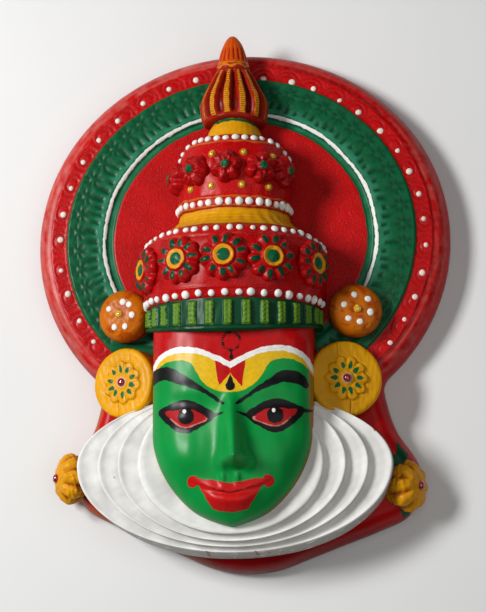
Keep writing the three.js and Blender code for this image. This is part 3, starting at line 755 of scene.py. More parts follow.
def halo_dots():
    """Thick drops of paint along the red band, closer together on the right."""
    rng = np.random.default_rng(SEEDS["halo_dots"])
    places = [(FIRST_DOT["left"] - DOT_STEP["left"] * k, LEFT_DOTS_AT) for k in range(13)]
    places += [(FIRST_DOT["right"] + DOT_STEP["right"] * k, mix(*RIGHT_DOTS_AT, k / 14)) for k in range(15)]
    dots = []
    for k, (angle, far) in enumerate(places):
        turn = np.radians(angle + rng.uniform(-0.7, 0.7))
        far += rng.uniform(-0.5, 0.5)
        x = far * np.sin(turn)
        y = far * np.cos(turn) * HALO_HALF_HEIGHT / HALO_HALF_WIDTH
        size = 2.0 * rng.uniform(0.85, 1.15)
        place = (x, y, float(board_surface(x, y)) - 0.1)
        dot = bead(size, size * 0.62, SEEDS["halo_dot"] + k)
        dots.append(dot.moved(lambda points, place=place: points + place))
    return joined(dots)


# Crown


def crown_rows():
    """Radius and height of the crown's tiers, from the drum up."""
    lower_tier = [(59.8, DRUM_TOP), (61.3, -55), (62.6, -52), (63.8, -48.5), (64.8, -43), (65.4, -35),
                  (65.3, -25), (64.4, -16.5), (62.6, -11.0), (59.6, -6.6), (56.6, -4.6), (52.0, -2.6)]
    neck = [(47.4, 0.2), (43.8, 2.8), (40.6, 6.0), (39.2, 9.2), (38.9, 10.8), (39.4, 12.6)]
    upper_tier = [(40.0, 16), (40.0, 19.2), (40.3, 26), (40.5, 35), (40.4, 42), (39.8, 49), (38.0, 55.5),
                  (35.6, 60.5), (32.3, 64.3), (27.0, 67.2)]
    top_neck = [(21.5, 68.6), (19.8, 70.5), (19.0, 73.5), (17.4, 77), (16.2, 79)]
    return evenly(curve_through(lower_tier + neck + upper_tier + top_neck, 12), 210)


def crown_radius(y):
    rows = crown_rows()
    return np.interp(y, rows[:, 1], rows[:, 0])


def on_crown(radius, turn, y):
    """Points at a radius, angle and height of the crown, which is flatter from front to back."""
    forward = CROWN_AXIS + CROWN_SQUASH * radius * np.cos(turn)
    return np.stack([HEAD_X + radius * np.sin(turn), y + 0 * turn, forward], -1)


def seated(points):
    """Points kept from passing back through the board: they stop a little under its surface."""
    floor = board_surface(points[..., 0], points[..., 1]) - SEAT_DEPTH
    return np.concatenate([points[..., :2], np.maximum(points[..., 2], floor)[..., None]], -1)


def front_turns(count):
    """Angles round the crown, closer together at the front than at the back."""
    even = 0.62
    share = np.linspace(-1, 1, count, endpoint=False)
    return np.pi * (even * share + (1 - even) * share**3)


def foot_arch(turn):
    """How far the bulb's foot is lifted at an angle."""
    return ARCH * np.clip(np.cos(turn), 0, 1) ** 2


def tier_paint(turn, y):
    """The yellow necks, the orange cords, the green line at the top, painted shade in the grooves and where
    the necks meet the red, and darker patches over the lower tier.
    """
    wave = y + 0.4 * ripple(turn * TURN_MM, y, 25, 22)
    yellow = np.maximum(np.minimum(wave + 1.8, 11.4 - wave), wave - 67.8)
    dusk = 0.35 * smooth(-9, -12, wave) * (0.5 + 0.5 * ripple(turn * TURN_MM, y, 14, 23))
    # Painted shade along the edges of the yellow necks
    tone = 0.5 * band(yellow, -2.4, -0.3, -0.3, 1.2) + dusk
    orange = 0.1 - np.abs(wave + 11.2)
    for at, half in CORDS[2:]:
        orange = np.maximum(orange, half + 0.15 - np.abs(wave - at))
    # Painted shade in the grooves at the necks' edges
    groove = 0.4 - np.minimum(np.abs(wave + 2.0), np.abs(wave - 11.7))
    return {"yellow": yellow, "orange": orange, "top_green": 1.0 - np.abs(wave - 77.6), "groove": groove,
            "speckle": np.clip(0.7 - yellow, 0, 0.7), "tone": np.clip(tone, 0, 1)}


def crown_tiers():
    """Both red tiers and the yellow necks, with cords of paint and a hammered lower neck."""
    rows = crown_rows()
    turn = front_turns(330)[None]
    radius, y = rows[:, :1], rows[:, 1:]
    cords = sum(0.7 * bell(y, at, 1.6 * half) for at, half in CORDS)
    hammered = 0.3 * np.cos(turn * 34) * bell(y, 3.5, 4) + 0.45 * bell(y, 9.6, 0.8)
    hammered = hammered + 0.25 * np.sin(y * 2.4 + 0.5 * np.cos(turn * 9)) * bell(y, 4.5, 4)
    uneven = 0.35 * ripple(turn * TURN_MM, y, 16, 21) * np.clip(radius / 45, 0, 1) ** 2
    arch = foot_arch(turn) * smooth(69, 79, y)
    rings = seated(on_crown(radius + cords + hammered + uneven, turn, y + arch))
    return tube(rings, tier_paint(turn, y))


def drum():
    """The drum with braided bars over a plain hanging rim."""
    per_bar = 18
    bar_half = 3.1
    turn = around(BAR_COUNT * per_bar)[None] - np.pi
    down = np.concatenate([np.linspace(0, 1, 44), [1.0, 1.0]])[:, None]
    y = mix(DRUM_TOP + 0.5, DRUM_BOTTOM, down)
    place = (turn - BAR_SHIFT) / (2 * np.pi) * BAR_COUNT
    across = ((place + 0.5) % 1 - 0.5) * 2 * np.pi * DRUM_RADIUS / BAR_COUNT
    out = np.abs(across)
    on_bar = smooth(bar_half, bar_half - 0.8, out) * band(down, 0.1, 0.16, 0.76, 0.81)
    braid = np.abs(np.sin((down * 14 - out * 0.8) * 1.7)) ** 0.7 * smooth(0.1, 0.6, out)
    rim = band(down, 0.8, 0.86, 0.97, 1.0)
    radius = DRUM_RADIUS - 1.6 + (1.8 + 1.0 * braid) * on_bar + 2.2 * rim
    radius = radius + 0.25 * ripple(turn * TURN_MM, y, 9, 31)
    # The last ring closes the drum's underside
    radius[-1] = 40.0
    hang = y - DRUM_DROP * np.clip(np.cos(turn), 0, 1) * smooth(0, 1, down)
    rings = seated(on_crown(radius, turn, hang))
    bars = np.minimum(bar_half - 0.3 - out, np.minimum(down - 0.11, 0.8 - down) * 20)
    # Painted shade where the braid sinks between its marks
    return tube(rings, {"bars": bars, "gaps": on_bar * (0.6 - braid) * 2.2 - 0.5})


def turned_grid(path, cols):
    """A form turned about the Z axis along a path of radius and height: x, y, z, radius and angle."""
    spin = around(cols)[None] + 0 * path[:, :1]
    r = path[:, :1] + 0 * spin
    return r * np.cos(spin), r * np.sin(spin), path[:, 1:] + 0 * spin, r, spin


def notches(spin, count, power):
    """0 at the middle of each petal and 1 between two."""
    return (0.5 - 0.5 * np.cos(spin * count)) ** power


def leaf_marks(rng, x, y, start, count, shaky, far, long, wide, taper=0.0):
    """Painted leaves set round a middle. Distance, length and width are ranges to draw from."""
    marks = unpainted(x)
    for k in range(count):
        at = (2 * np.pi * k) / count - start + rng.uniform(-shaky, shaky)
        reach = rng.uniform(*far)
        length = rng.uniform(*long)
        width = rng.uniform(*wide)
        dx = x - reach * np.cos(at)
        dy = y - reach * np.sin(at)
        radial = (dx * np.cos(at) + dy * np.sin(at)) / length
        side = (-dx * np.sin(at) + dy * np.cos(at)) / width
        marks = np.maximum(marks, width * (1 - np.hypot(radial, side * (1 + taper * radial))))
    return marks


def rosette(seed):
    """A lower tier rosette: ten petals, a raised yellow ring and a green middle."""
    rng = np.random.default_rng(seed)
    start = rng.uniform(0, 2 * np.pi)
    petals = [(0.9, -1.6), (1.0, -0.4), (1.03, 0.25), (0.93, 0.72), (0.75, 0.95), (0.58, 0.9), (0.52, 0.8)]
    middle = [(0.49, 1.05), (0.42, 1.2), (0.35, 1.15), (0.31, 1.0), (0.25, 1.12), (0.1, 1.3), (0.02, 1.32)]
    path = evenly(curve_through(petals + middle, 10), 30) * (ROSETTE_RADIUS, ROSETTE_RISE)
    x, y, z, r, spin = turned_grid(path, 132)
    share = r / ROSETTE_RADIUS
    notch = notches(spin + start, ROSETTE_PETALS, 1.6)
    cut = 1 - 0.09 * notch * smooth(0.55, 0.8, share)
    z = z - 1.7 * notch * smooth(0.5, 0.85, share) * smooth(-3, 0, z) + 0.3 * ripple(x, y, 5, seed)
    marks = leaf_marks(rng, x, y, start, ROSETTE_PETALS, 0.09, (11.2, 13.0), (2.6, 4.0), (1.5, 2.4))
    # Painted shade between the petals
    crease = notch * smooth(0.5, 0.75, share) * 2.4 - 1.1
    return tube(np.stack([x * cut, y * cut, z], -1),
                {"ring": 1.25 - np.abs(r - 5.8), "core": 4.4 - r, "marks": marks, "crease": crease})


def boss(seed):
    """An upper tier boss: a lumpy six-lobed flower with a small green middle."""
    start = np.random.default_rng(seed).uniform(0, 2 * np.pi)
    profile = [(0.85, -1.2), (1.0, -0.5), (1.03, 0.1), (0.94, 0.55), (0.76, 0.85), (0.55, 0.95), (0.4, 0.86),
               (0.33, 0.92), (0.26, 1.15), (0.12, 1.28), (0.02, 1.3)]
    path = evenly(curve_through(profile, 10), 26) * (BOSS_RADIUS, BOSS_RISE)
    x, y, z, r, spin = turned_grid(path, 96)
    share = r / BOSS_RADIUS
    notch = notches(spin + start, BOSS_LOBES, 1.5)
    cut = 1 - 0.12 * notch * smooth(0.5, 0.85, share)
    z = z - 2.2 * notch * smooth(0.42, 0.8, share) * smooth(-3, 0, z) + 0.9 * ripple(x, y, 4, seed)
    # Painted shade between the lobes
    crease = notch * smooth(0.4, 0.75, share) * 2.2 - 1.0
    return tube(np.stack([x * cut, y * cut, z], -1), {"core": 3.0 - r, "crease": crease})


def place_on_crown(shell, angle, y, outward_by=0.0):
    """Stands a form that points along Z on the crown, square to its surface."""
    turn = np.radians(angle)
    lean = np.arctan((crown_radius(y - 1) - crown_radius(y + 1)) / 2)
    facing = np.arctan2(np.sin(turn) * CROWN_SQUASH, np.cos(turn))
    rotation = Matrix.Rotation(facing, 3, "Y") @ Matrix.Rotation(-lean, 3, "X")
    radius = crown_radius(y) + outward_by
    centre = on_crown(radius, np.array(turn), np.array(float(y)))
    return shell.moved(lambda points: points @ np.array(rotation).T + centre)


def bead(radius, rise, seed):
    """A thick drop of paint, round and a little uneven."""
    rng = np.random.default_rng(seed)
    long, wide = rng.uniform(0.92, 1.12, 2)
    spin = around(14)[None]
    lift = np.linspace(-0.5, np.pi / 2, 9)[:-1, None]
    x = radius * np.cos(lift) * np.cos(spin) * long
    y = radius * np.cos(lift) * np.sin(spin) * wide
    z = rise * np.sin(lift) + 0.1 * ripple(x, y, 3, seed)
    return tube(np.stack([x, y, z], -1))


def crown_beads():
    """The four rows of white beads round the tiers."""
    rng = np.random.default_rng(SEEDS["crown_beads"])
    beads = []
    for index, row in enumerate(BEAD_ROWS):
        count = int(row["reach"] / row["step"])
        for k in range(-count, count + 1):
            angle = row["first"] + k * row["step"] + rng.uniform(-0.9, 0.9)
            size = row["radius"] * rng.uniform(0.82, 1.1)
            one = bead(size, size * 0.75, SEEDS["crown_bead"] + 100 * index + k)
            y = row["y"] - row["sag"] * smooth(45, 100, abs(angle)) + rng.uniform(-0.35, 0.35)
            beads.append(place_on_crown(one, angle, y, 0.3))
    return joined(beads)


def stacked(levels, radius, spin, wide=1.0):
    """A closed form through circles. A level gives its share of the radius, and its height."""
    x, y = radius * wide * np.cos(spin), radius * wide * np.sin(spin)
    return tube(np.stack([np.stack([x * r, y * r, z + 0 * spin], -1) for r, z in levels]))


def gem(radius, sides, sink=0.0):
    """A faceted stone with a table on top."""
    wide = np.where(np.arange(sides * 2) % 2 == 0, 1.0, 0.97)
    levels = [(0.9, -sink - 0.3), (1.0, -sink), (1.0, radius * 0.3), (0.62, radius * 0.7),
              (0.5, radius * 0.75), (0.02, radius * 0.78)]
    return stacked(levels, radius, around(sides * 2), wide)


def socket_ring(radius, outer=1.4):
    """The raised ring of paint round a stone."""
    inner = mix(1.0, outer, 0.3)
    levels = [(1.0, -1.5), (outer, -1.5), (outer, 0.1), (mix(inner, outer, 0.7), 0.45), (inner, 0.5),
              (1.0, 0.2)]
    return stacked(levels, radius, around(40))


# Finial


def finial_rows():
    """Radius and height of the bulb, the collar over it and the cone."""
    bulb = [(20.6, 79.3), (22.0, 80.3), (23.4, 84.5), (24.2, 91), (24.1, 95.5), (22.9, 100), (20.9, 104),
            (18.0, 109.5), (14.8, 115.5), (12.4, 120)]
    collar = [(11.8, 121.8), (12.2, 123), (11.6, 124.4), (11.1, 125.6), (10.7, 127.4), (10.2, 130)]
    cone = [(9.2, 134), (7.7, 138.5), (5.7, 142.5), (3.4, 145.6), (1.7, 147.1), (0.2, 147.5)]
    return evenly(curve_through(bulb + collar + cone, 12), 170)


def finial_paint(turn, y, across, half, belly, dashes):
    """Orange ribs, yellow in front with a dashed line beside them, and the orange collar and cone."""
    side = np.abs(np.degrees(turn))
    rib = np.minimum(half - across + 0.2 * ripple(turn * FINIAL_MM, y, 6, 54), 8 * (belly - 0.2))
    marks = np.minimum(0.7 - np.abs(across - 0.8), 0.5 - dashes) * 3
    upper_cord = 0.9 - np.abs(y - 123.2 + 0.8 * np.cos(turn * 7))
    return {"rib": rib, "yellow": np.where(side < 60, rib - 0.35, OUTSIDE), "marks": np.minimum(marks, rib),
            "cone": y - 124.9, "collar": np.maximum(upper_cord, 0.5 - np.abs(y - 125.4))}


def finial():
    """A fluted bulb with beaded yellow ribs, a collar and a pointed cone."""
    rows = finial_rows()
    turn = around(364)[None] - np.pi
    radius, y = rows[:, :1], rows[:, 1:]
    belly = band(y, 80, 86, 116, 121)
    place = (turn * FINIAL_RIBS + FIRST_RIB) / (2 * np.pi)
    across = np.abs((place + 0.5) % 1 - 0.5) * 2 * np.pi * radius / FINIAL_RIBS
    half = mix(1.1, 2.1, smooth(120, 96, y))
    on_rib = smooth(half + 0.5, half - 0.4, across)
    flute = smooth(half, half + 2.6, across)
    dashes = np.abs(np.sin(y * 1.7 + 0.4 * ripple(turn * FINIAL_MM, y, 12, 52)))
    streaks = band(y, 126, 128, 134, 141) * notches(turn, 17, 2)
    wide = radius + belly * (0.5 * on_rib * (0.4 + 0.6 * dashes) - 3.5 * flute**1.2) - 0.7 * streaks
    wide = wide + 0.2 * ripple(turn * FINIAL_MM, y, 9, 51)
    arch = foot_arch(turn) * (1 - smooth(80, 100, y))
    rings = on_crown(np.maximum(wide, 0.2), turn, y + arch)
    rings[..., 0] += FINIAL_LEAN * (y - y[0]) / (y[-1] - y[0])
    # Painted shade darkens the flutes between the ribs
    return tube(seated(rings), {"crease": flute * belly * 2.6 - 1.2, "streaks": streaks * 1.8 - 0.8,
                                **finial_paint(turn, y, across, half, belly, dashes)})


# Face


def face_half(y):
    down = np.clip((CHEEK_Y - y) / (CHEEK_Y - CHIN_Y), 0, 1)
    return np.maximum(1.5, FACE_HALF * (1 - down**1.75) ** (1 / 1.75))


def face_height(x, y):
    """Height of the carved face over the back plane, x counted from its own middle line."""
    side = np.abs(x)
    across = np.clip(side / face_half(y), 0, 1)
    rise = mix(FOREHEAD_RISE, JAW_RISE, smooth(15, CHEEK_Y - CHIN_Y, CHEEK_Y - y))
    tip = np.clip(1 - (y - CHIN_Y) / 13, 0, 1)
    z = FACE_EDGE + rise * (1 - np.minimum(1, across**2.6 + tip**3)) ** 0.5
    z += 1.5 * hill(side, y, EYE_X - 4, -118, 18, 7)
    z -= 4.2 * hill(side, y, EYE_X - 3, EYE_Y, 16, 9)
    z += 5.4 * hill(side, y, EYE_X, EYE_Y - 0.5, 12.5, 7.5)
    z += 2.4 * hill(side, y, EYE_X + 2, -160, 15, 13)
    return z + nose_relief(x, y) + mouth_relief(x, y)


def nose_relief(x, y):
    """A straight ridge that widens to a rounded tip, with soft wings and a short underside."""
    down = np.clip((NOSE_TOP_Y - y) / (NOSE_TOP_Y - NOSE_TIP_Y), 0, 1.25)
    side = np.abs(x - NOSE_LEAN * down)
    below = NOSE_TIP_Y - y + 0.06 * np.minimum(side, 9) ** 2
    under = 1 - smooth(0, 9, below)
    half = mix(4.6, 6.8, down)
    narrow = 0.74 * bell(side, 0, half) * under * (1 - smooth(6, 15, below))
    wide = 0.26 * bell(side, 0, 2.3 * half) * (1 - smooth(-10, 18, NOSE_TIP_Y - y))
    ridge = mix(2.0, 18.0, smooth(0, 1.02, down)) * (narrow + wide) * smooth(-104, -128, y)
    tip = 3.0 * hill(side, y, 0, NOSE_TIP_Y - 0.5, 6.0, 5.0)
    wings = 5.2 * hill(side, y, 8.4, NOSE_TIP_Y - 2.5, 4.0, 4.4)
    to_lip = 1.7 * hill(np.abs(x), y, 5.0, -177.5, 2.2, 5.0)
    return ridge + tip + wings + to_lip


def mouth_relief(x, y):
    """Full lips along a line that rises to the corners, on a soft swelling over the chin."""
    line = MOUTH_Y + 7 * (x / MOUTH_HALF) ** 2
    reach = np.exp(-((x / (MOUTH_HALF * 0.92)) ** 6))
    swelling = 4.0 * hill(x, y, 0, MOUTH_Y + 1, 24, 15)
    upper = 1.0 * reach * bell(y, line + 2.8, 3.2)
    lower = 4.2 * bell(y, line - 5.6, 5.6) * np.exp(-((x / 16.5) ** 4))
    parting = 0.5 * reach * bell(y, line - 0.1, 1.5)
    below = 0.8 * hill(x, y, 0, -203, 12, 3.0)
    return swelling + upper + lower - parting - below


def under_drum(x, y, z):
    """The headband passes under the drum, so its top edge keeps below the drum's front."""
    out = np.minimum(DRUM_RADIUS, np.abs(x + FACE_X))
    front = CROWN_AXIS + CROWN_SQUASH * np.sqrt(DRUM_RADIUS**2 - out**2)
    return mix(np.minimum(z, front - 3.2), z, smooth(0, 14, FACE_TOP - y))


def almond(side, y, inner, top, outer, bottom):
    """Distance inside an eye-shaped outline through its four ends."""
    corners = curve_through([
        inner, (mix(inner[0], top[0], 0.5), mix(inner[1], top[1], 0.72)), top,
        (mix(top[0], outer[0], 0.55), mix(top[1], outer[1], 0.38)), outer,
        (mix(outer[0], bottom[0], 0.5), mix(outer[1], bottom[1], 0.7)), bottom,
        (mix(bottom[0], inner[0], 0.55), mix(bottom[1], inner[1], 0.36)),
    ], 6, closed=True)
    return polygon(side, y, [tuple(c) for c in corners])


def rounded(points):
    return [tuple(p) for p in curve_through(points, 5)]


def forehead_paint(x, y):
    """The red headband, the white line under it, the yellow band and the red marks in its middle."""
    side = np.abs(x)
    line = rounded([(0, -101, 2.0), (10, -95.8, 1.9), (22, -91, 1.9), (36, -89.4, 2.1), (46.5, -92.2, 1.9),
                    (52, -96.6, 1.7), (56, -103, 1.5)])
    above = [(p[0], p[1]) for p in line]
    headband = polygon(side, y, [(-1, -101.4)] + above + [(70, -103)] + OVER_FACE)
    scallop = rounded([(-1, -120), (7, -119), (13.6, -116.2), (18.9, -112), (23.4, -105.2), (27.6, -98.9),
                       (34, -96.8), (43, -97), (51, -101), (57, -108)])
    yellow = polygon(side, y, scallop + [(70, -108)] + OVER_FACE)
    marks = polygon(side, y, [(0.2, -100), (10.9, -95.5), (7.9, -115.6), (0.35, -107.2)])
    return {"yellow": yellow, "headband": headband, "marks": marks, "white": stroke(side, y, line)}


def forehead_signs(x, y):
    """The black drop between the brows, and the small one above it under a ring of dashes."""
    dashes = 24
    ring = 6.2
    drop = polygon(x, y, [(0.1, -106.6), (1.5, -110.5), (3.1, -114), (-2.9, -114), (-1.3, -110.5)])
    drop = np.maximum(drop, 3.3 - np.hypot(x - 0.1, y + 115.3))
    small = polygon(x, y, [(0.7, -91.2), (1.9, -95), (-0.5, -95)])
    small = np.maximum(small, 1.5 - np.hypot(x - 0.7, y + 95.6))
    dx, dy = x - 0.5, y + 84.6
    gap = np.abs((np.arctan2(dx, dy) / (2 * np.pi) * dashes) % 1 - 0.5) * 2 * np.pi * ring / dashes
    dash = np.minimum(0.95 - np.abs(np.hypot(dx, dy) - ring), 0.5 - gap)
    return np.maximum(drop, np.maximum(small, dash))


def brow_paint(x, y):
    """The brows: alike at the nose, but the viewer's left one ends wider and higher."""
    start = [(4.6, -127.6, 1.0), (9, -124.4, 1.25), (17.6, -118.6, 1.5), (28.4, -112.6, 2.9),
             (36, -108.9, 4.0)]
    left_end = [(44, -105.0, 4.4), (51, -105.4, 4.6), (57, -107.5, 4.8)]
    right_end = [(43, -109.0, 4.4), (47.5, -110.6, 3.9), (50.5, -113.5, 2.6)]
    return np.maximum(stroke(-x, y, rounded(start + left_end)), stroke(x, y, rounded(start + right_end)))


def eye_paint(x, y):
    """The black round the eyes with its tails, and the red, the pupil and the glint inside it."""
    side = np.abs(x)
    outline = almond(side, y, (10.4, -135.2), (32, -123.8), (50.5, -131.4), (31, -147.2))
    tails = stroke(side, y, [(12, -135.6, 1.5), (8.5, -134.6, 1.0), (4.8, -133.6, 0.5)])
    outer = stroke(x, y, [(47, -132, 2.0), (52, -131.4, 1.2), (55, -130.6, 0.8)])
    sclera = almond(side, y, (15.6, -137.4), (29.5, -130.3), (45.3, -131.6), (31, -143.2))
    pupil = np.minimum(5.6 - np.hypot(side - EYE_X, y + 135.3), sclera + 0.6)
    glint = 1.25 - np.hypot(x + np.where(x < 0, 31.4, -29.4), (y + 132.2) * 0.8)
    rim = np.minimum(0.42 - np.abs(sclera - 0.25), -136.5 - y)
    black = np.maximum(outline, np.maximum(tails, outer))
    return black, {"sclera": sclera, "rim": rim, "pupil": pupil, "glint": glint}


def lip_paint(x, y):
    """The red lips with a round drop at each corner, and the dark line between them, painted shade in their
    parting.
    """
    side = np.abs(x)
    top = [(0, -181.9), (6, -180.3), (13, -178.5), (21.5, -177.9)]
    low = [(22.5, -181.5), (20.4, -184.2), (16.0, -191.8), (11.8, -197.8), (7, -199.5), (0, -200.0)]
    lips = polygon(side, y, [(-3, -181.6)] + top[1:] + low + [(-3, -200)])
    corners = np.maximum(3.9 - np.hypot(side - 25.6, y + 179.4),
                         stroke(side, y, [(24, -179.5, 2.0), (19, -180.5, 2.6)]))
    # Painted shade along the parting of the lips
    parting = stroke(side, y, [(0, -187.6, 0.5), (9, -185.4, 0.42), (20.6, -181.0, 0.3)])
    return {"lips": np.maximum(lips, corners), "parting": parting}


def face_paint(x, y):
    """The painted pattern of the face, with a brown edge, partly the paint of its side and partly painted
    shade, that is wider on the viewer's right.
    """
    # The brown edge is partly paint and partly painted shade along the face's side
    edge_width = np.where(x > 0, 1.3 + 1.2 * smooth(-150, -125, y), 0.5)
    edge = np.minimum(edge_width - (face_half(y) - np.abs(x)), -99 - y)
    round_eyes, eyes = eye_paint(x, y)
    black = np.maximum(round_eyes, np.maximum(brow_paint(x, y), forehead_signs(x, y)))
    return {"edge": edge, "black": black, **forehead_paint(x, y), **eyes, **lip_paint(x, y)}


def skirted(sheet, fields):
    """A sheet closed by a skirt from its border to the face's flat underside."""
    rows, cols = sheet.shape[:2]
    r, c = np.meshgrid(np.arange(rows - 1), np.arange(cols - 1), indexing="ij")
    a = (r * cols + c).ravel()
    faces = [np.stack([a, a + cols, a + cols + 1, a + 1], -1)]
    border = np.concatenate([
        np.arange(rows - 1) * cols,
        (rows - 1) * cols + np.arange(cols - 1),
        np.arange(rows - 1, 0, -1) * cols + cols - 1,
        np.arange(cols - 1, 0, -1),
    ])
    points = [sheet.reshape(-1, 3)]
    total = rows * cols
    previous = border
    depths = (0.12, 0.3, 0.55, 1.0)
    for depth in depths:
        ring = points[0][border]
        ring[:, 2] = mix(ring[:, 2], FACE_BACK, depth)
        index = np.arange(len(border)) + total
        total += len(border)
        points.append(ring)
        faces.append(np.stack([previous, index, np.roll(index, -1), np.roll(previous, -1)], -1))
        previous = index
    points.append(points[-1].mean(0)[None])
    faces.append(np.stack([previous, np.full(len(border), total), np.roll(previous, -1)], -1))
    kept = {}
    for name, field in fields.items():
        flat = field.ravel()
        kept[name] = np.concatenate([flat] + [flat[border]] * len(depths) + [[OUTSIDE]])
    return Shell(np.concatenate(points), faces, kept)


def face():
    """The carved face, in rows from the headband to the chin, closer together at its two sides."""
    y = mix(FACE_TOP, CHIN_Y, np.linspace(0, 1, 250) ** 0.97)[:, None]
    spread = np.linspace(-1, 1, 190)[None]
    x = np.sign(spread) * np.abs(spread) ** 1.05 * face_half(y)
    y = y + 0 * x
    from_edge = 1 - smooth(0.97, 1.0, np.abs(spread))
    relief = face_height(x, y) + 0.18 * ripple(x, y, 16, 61)
    z = under_drum(x, y, mix(FACE_EDGE, relief, smooth(0, 0.06, from_edge)))
    sheet = np.stack([HEAD_X + FACE_X + x + FACE_TURN * (z - FACE_EDGE), y, z], -1)
    return skirted(sheet, face_paint(x, y))


# Collar


def collar_levels():
    """Half width, depth, height and share of lip for each ring, up the outer wall and then inwards."""
    levels = []
    for share in np.linspace(0, 1, 14):
        draft = CHUTTI_DRAFT * (1 - share)
        height = mix(CHUTTI_BACK, CHUTTI_EDGE - 0.9, share)
        levels.append((CHUTTI_HALF[0], CHUTTI_DEPTH[0] + draft, height, 0.0))
    lip = CHUTTI_EDGE + 0.4
    ovals = [np.array(oval) for oval in (*zip(CHUTTI_HALF, CHUTTI_DEPTH), CHUTTI_HOLE)]
    for outer, inner in zip(ovals, ovals[1:]):
        valley = lip + 0.6
        for share, lift in LIP:
            raised = smooth(0.0, 0.02, share) * smooth(0.16, 0.1, share)
            levels.append((*mix(outer, inner, share), lip + lift, raised))
        for share in np.linspace(0.27, 1, 9):
            height = mix(lip - 0.35, valley, smooth(0.2, 1, share)) - 0.2 * np.sin(np.pi * share)
            levels.append((*mix(outer, inner, share), height, 0.0))
        lip += LAYER_RISE + LAYER_SLOPE
        if inner is not ovals[-1]:
            levels += [(*inner, mix(valley, lip - 0.9, share), 0.0) for share in (0.35, 0.7)]
    return levels


def chutti():
    """The white collar: four layers about one centre, each with a raised lip, dished behind it."""
    spin = around(480)
    up = np.sin(spin)
    half, depth, height, lips = np.array(collar_levels()).T[..., None]
    x = HEAD_X + half * np.cos(spin)
    y = CHUTTI_Y + up * np.where(up < 0, depth, CHUTTI_REACH)
    top = height > CHUTTI_EDGE - 2
    z = height + np.where(top, 0.35 * ripple(x, y, 34, 71) + 0.12 * ripple(x, y, 9, 72), 0)
    # Painted shade: the outer wall below the top is painted grey, in patches
    wall_shade = np.where(z < CHUTTI_EDGE - 2.5, 0.5, -0.5) + 0.6 * ripple(x, y + z, 12, 73)
    wall = np.minimum(np.where(top, OUTSIDE, -OUTSIDE), wall_shade)
    ragged = 0.5 * ripple(x * 2, y + z, 2.5, 74)
    chips = np.max([size - np.hypot(x - at_x, y - at_y) for at_x, at_y, size in CHIPS], axis=0) + ragged
    # Painted shade: the collar is darker on the viewer's left, except on its lips
    collar_shade = (0.02 + 0.26 * smooth(20, -70, x)) * (1 - lips) * (0.8 + 0.5 * ripple(x, y, 16, 75))
    rings = seated(np.stack([x, y, z], -1))
    return tube(rings, {"wall": wall, "chips": chips, "tone": np.clip(collar_shade, 0, 1)})


# Ear discs, domes and side flowers


def turned(shell, at, cant):
    """A form that points along Z, turned outwards by the cant and moved to its place on the right."""
    rotation = np.array(Matrix.Rotation(np.radians(cant), 3, "Y"))
    return shell.moved(lambda points: points @ rotation.T + np.array(at))


def sided(shell, side, shift_x=0.0, shift_y=0.0):
    """A right-hand shell, or its mirror image on the left, moved to the head's middle line."""
    one = shell if side == "right" else shell.mirrored()
    return one.moved(lambda points: points + np.array((HEAD_X + shift_x, shift_y, 0.0)))


def seated_flower(points):
    """A flower stands on the board's edge: past that edge it stops a little over the back plane."""
    on_board = np.abs(points[:, 0]) < FLOWER_EDGE
    return np.where(on_board[:, None], seated(points), np.maximum(points, (-np.inf, -np.inf, FLOWER_BACK)))


def ear_disc(radius, seed):
    """A thick wooden disc with a ten-petalled flower raised in its middle."""
    rng = np.random.default_rng(seed)
    start = rng.uniform(0, 2 * np.pi)
    wall = [(1.0, -34), (1.0, -24), (1.0, -14), (1.0, -6), (1.0, -3.2), (0.985, -1.5), (0.95, -0.5)]
    front = [(0.9, -0.1), (0.84, 0.0), (0.78, -0.05), (0.74, -0.1), (0.6, 0.1), (0.45, 0.15), (0.3, 0.2),
             (0.15, 0.3), (0.02, 0.3)]
    x, y, z, r, spin = turned_grid(evenly(np.array(wall + front) * (radius, 1.0), 96), 300)
    notch = notches(spin + start, DISC_PETALS, 1.4)
    edge = DISC_FLOWER_RADIUS * (1 - 0.12 * notch)
    raised = smooth(edge + 0.5, edge - 0.7, r)
    top = smooth(-3, -0.4, z)
    between = bell(notch, 1, 0.28)
    cracks = bell(x + 0.6 * ripple(x, y, 12, seed), 3.0, 0.3) * (y < -edge)
    cracks = cracks + bell(x + 0.5 * ripple(x, y, 9, seed + 1), -6.0, 0.25) * (y > edge)
    carved = raised * (1.3 - 0.75 * between * smooth(6, 14, r)) - 0.6 * bell(r, 5.6, 0.7)
    carved = carved - 0.45 * bell(r, edge + 0.8, 0.7) - 0.6 * cracks + 0.12 * ripple(x * 2, y, 9, seed + 2)
    z = z + top * carved
    marks = leaf_marks(rng, x, y, start, DISC_PETALS, 0.08, (9.0, 9.8), (2.1, 2.7), (1.3, 1.7), taper=0.3)
    # Painted shade round the raised flower, between its petals and in the cracks
    outline = bell(r, edge + 0.5, 0.55) * (0.75 + 0.5 * ripple(x, y, 9, seed + 5))
    crease = np.maximum(outline, between * smooth(edge - 4, edge, r) * (r < edge + 0.5)) * 1.7 - 1.0
    crease = np.where(top > 0.5, np.maximum(crease, cracks * 2 - 0.8), -1)
    shade = smooth(-1.5, -7.0, z) + 0.3 * ripple(x * 2, y, 14, seed + 4) - 0.6
    out_of_round = 1 + 0.012 * ripple(x, y, 22, seed + 3)
    points = np.stack([x * out_of_round, y * out_of_round, z], -1)
    return tube(points, {"marks": marks, "crease": crease, "shade": shade})


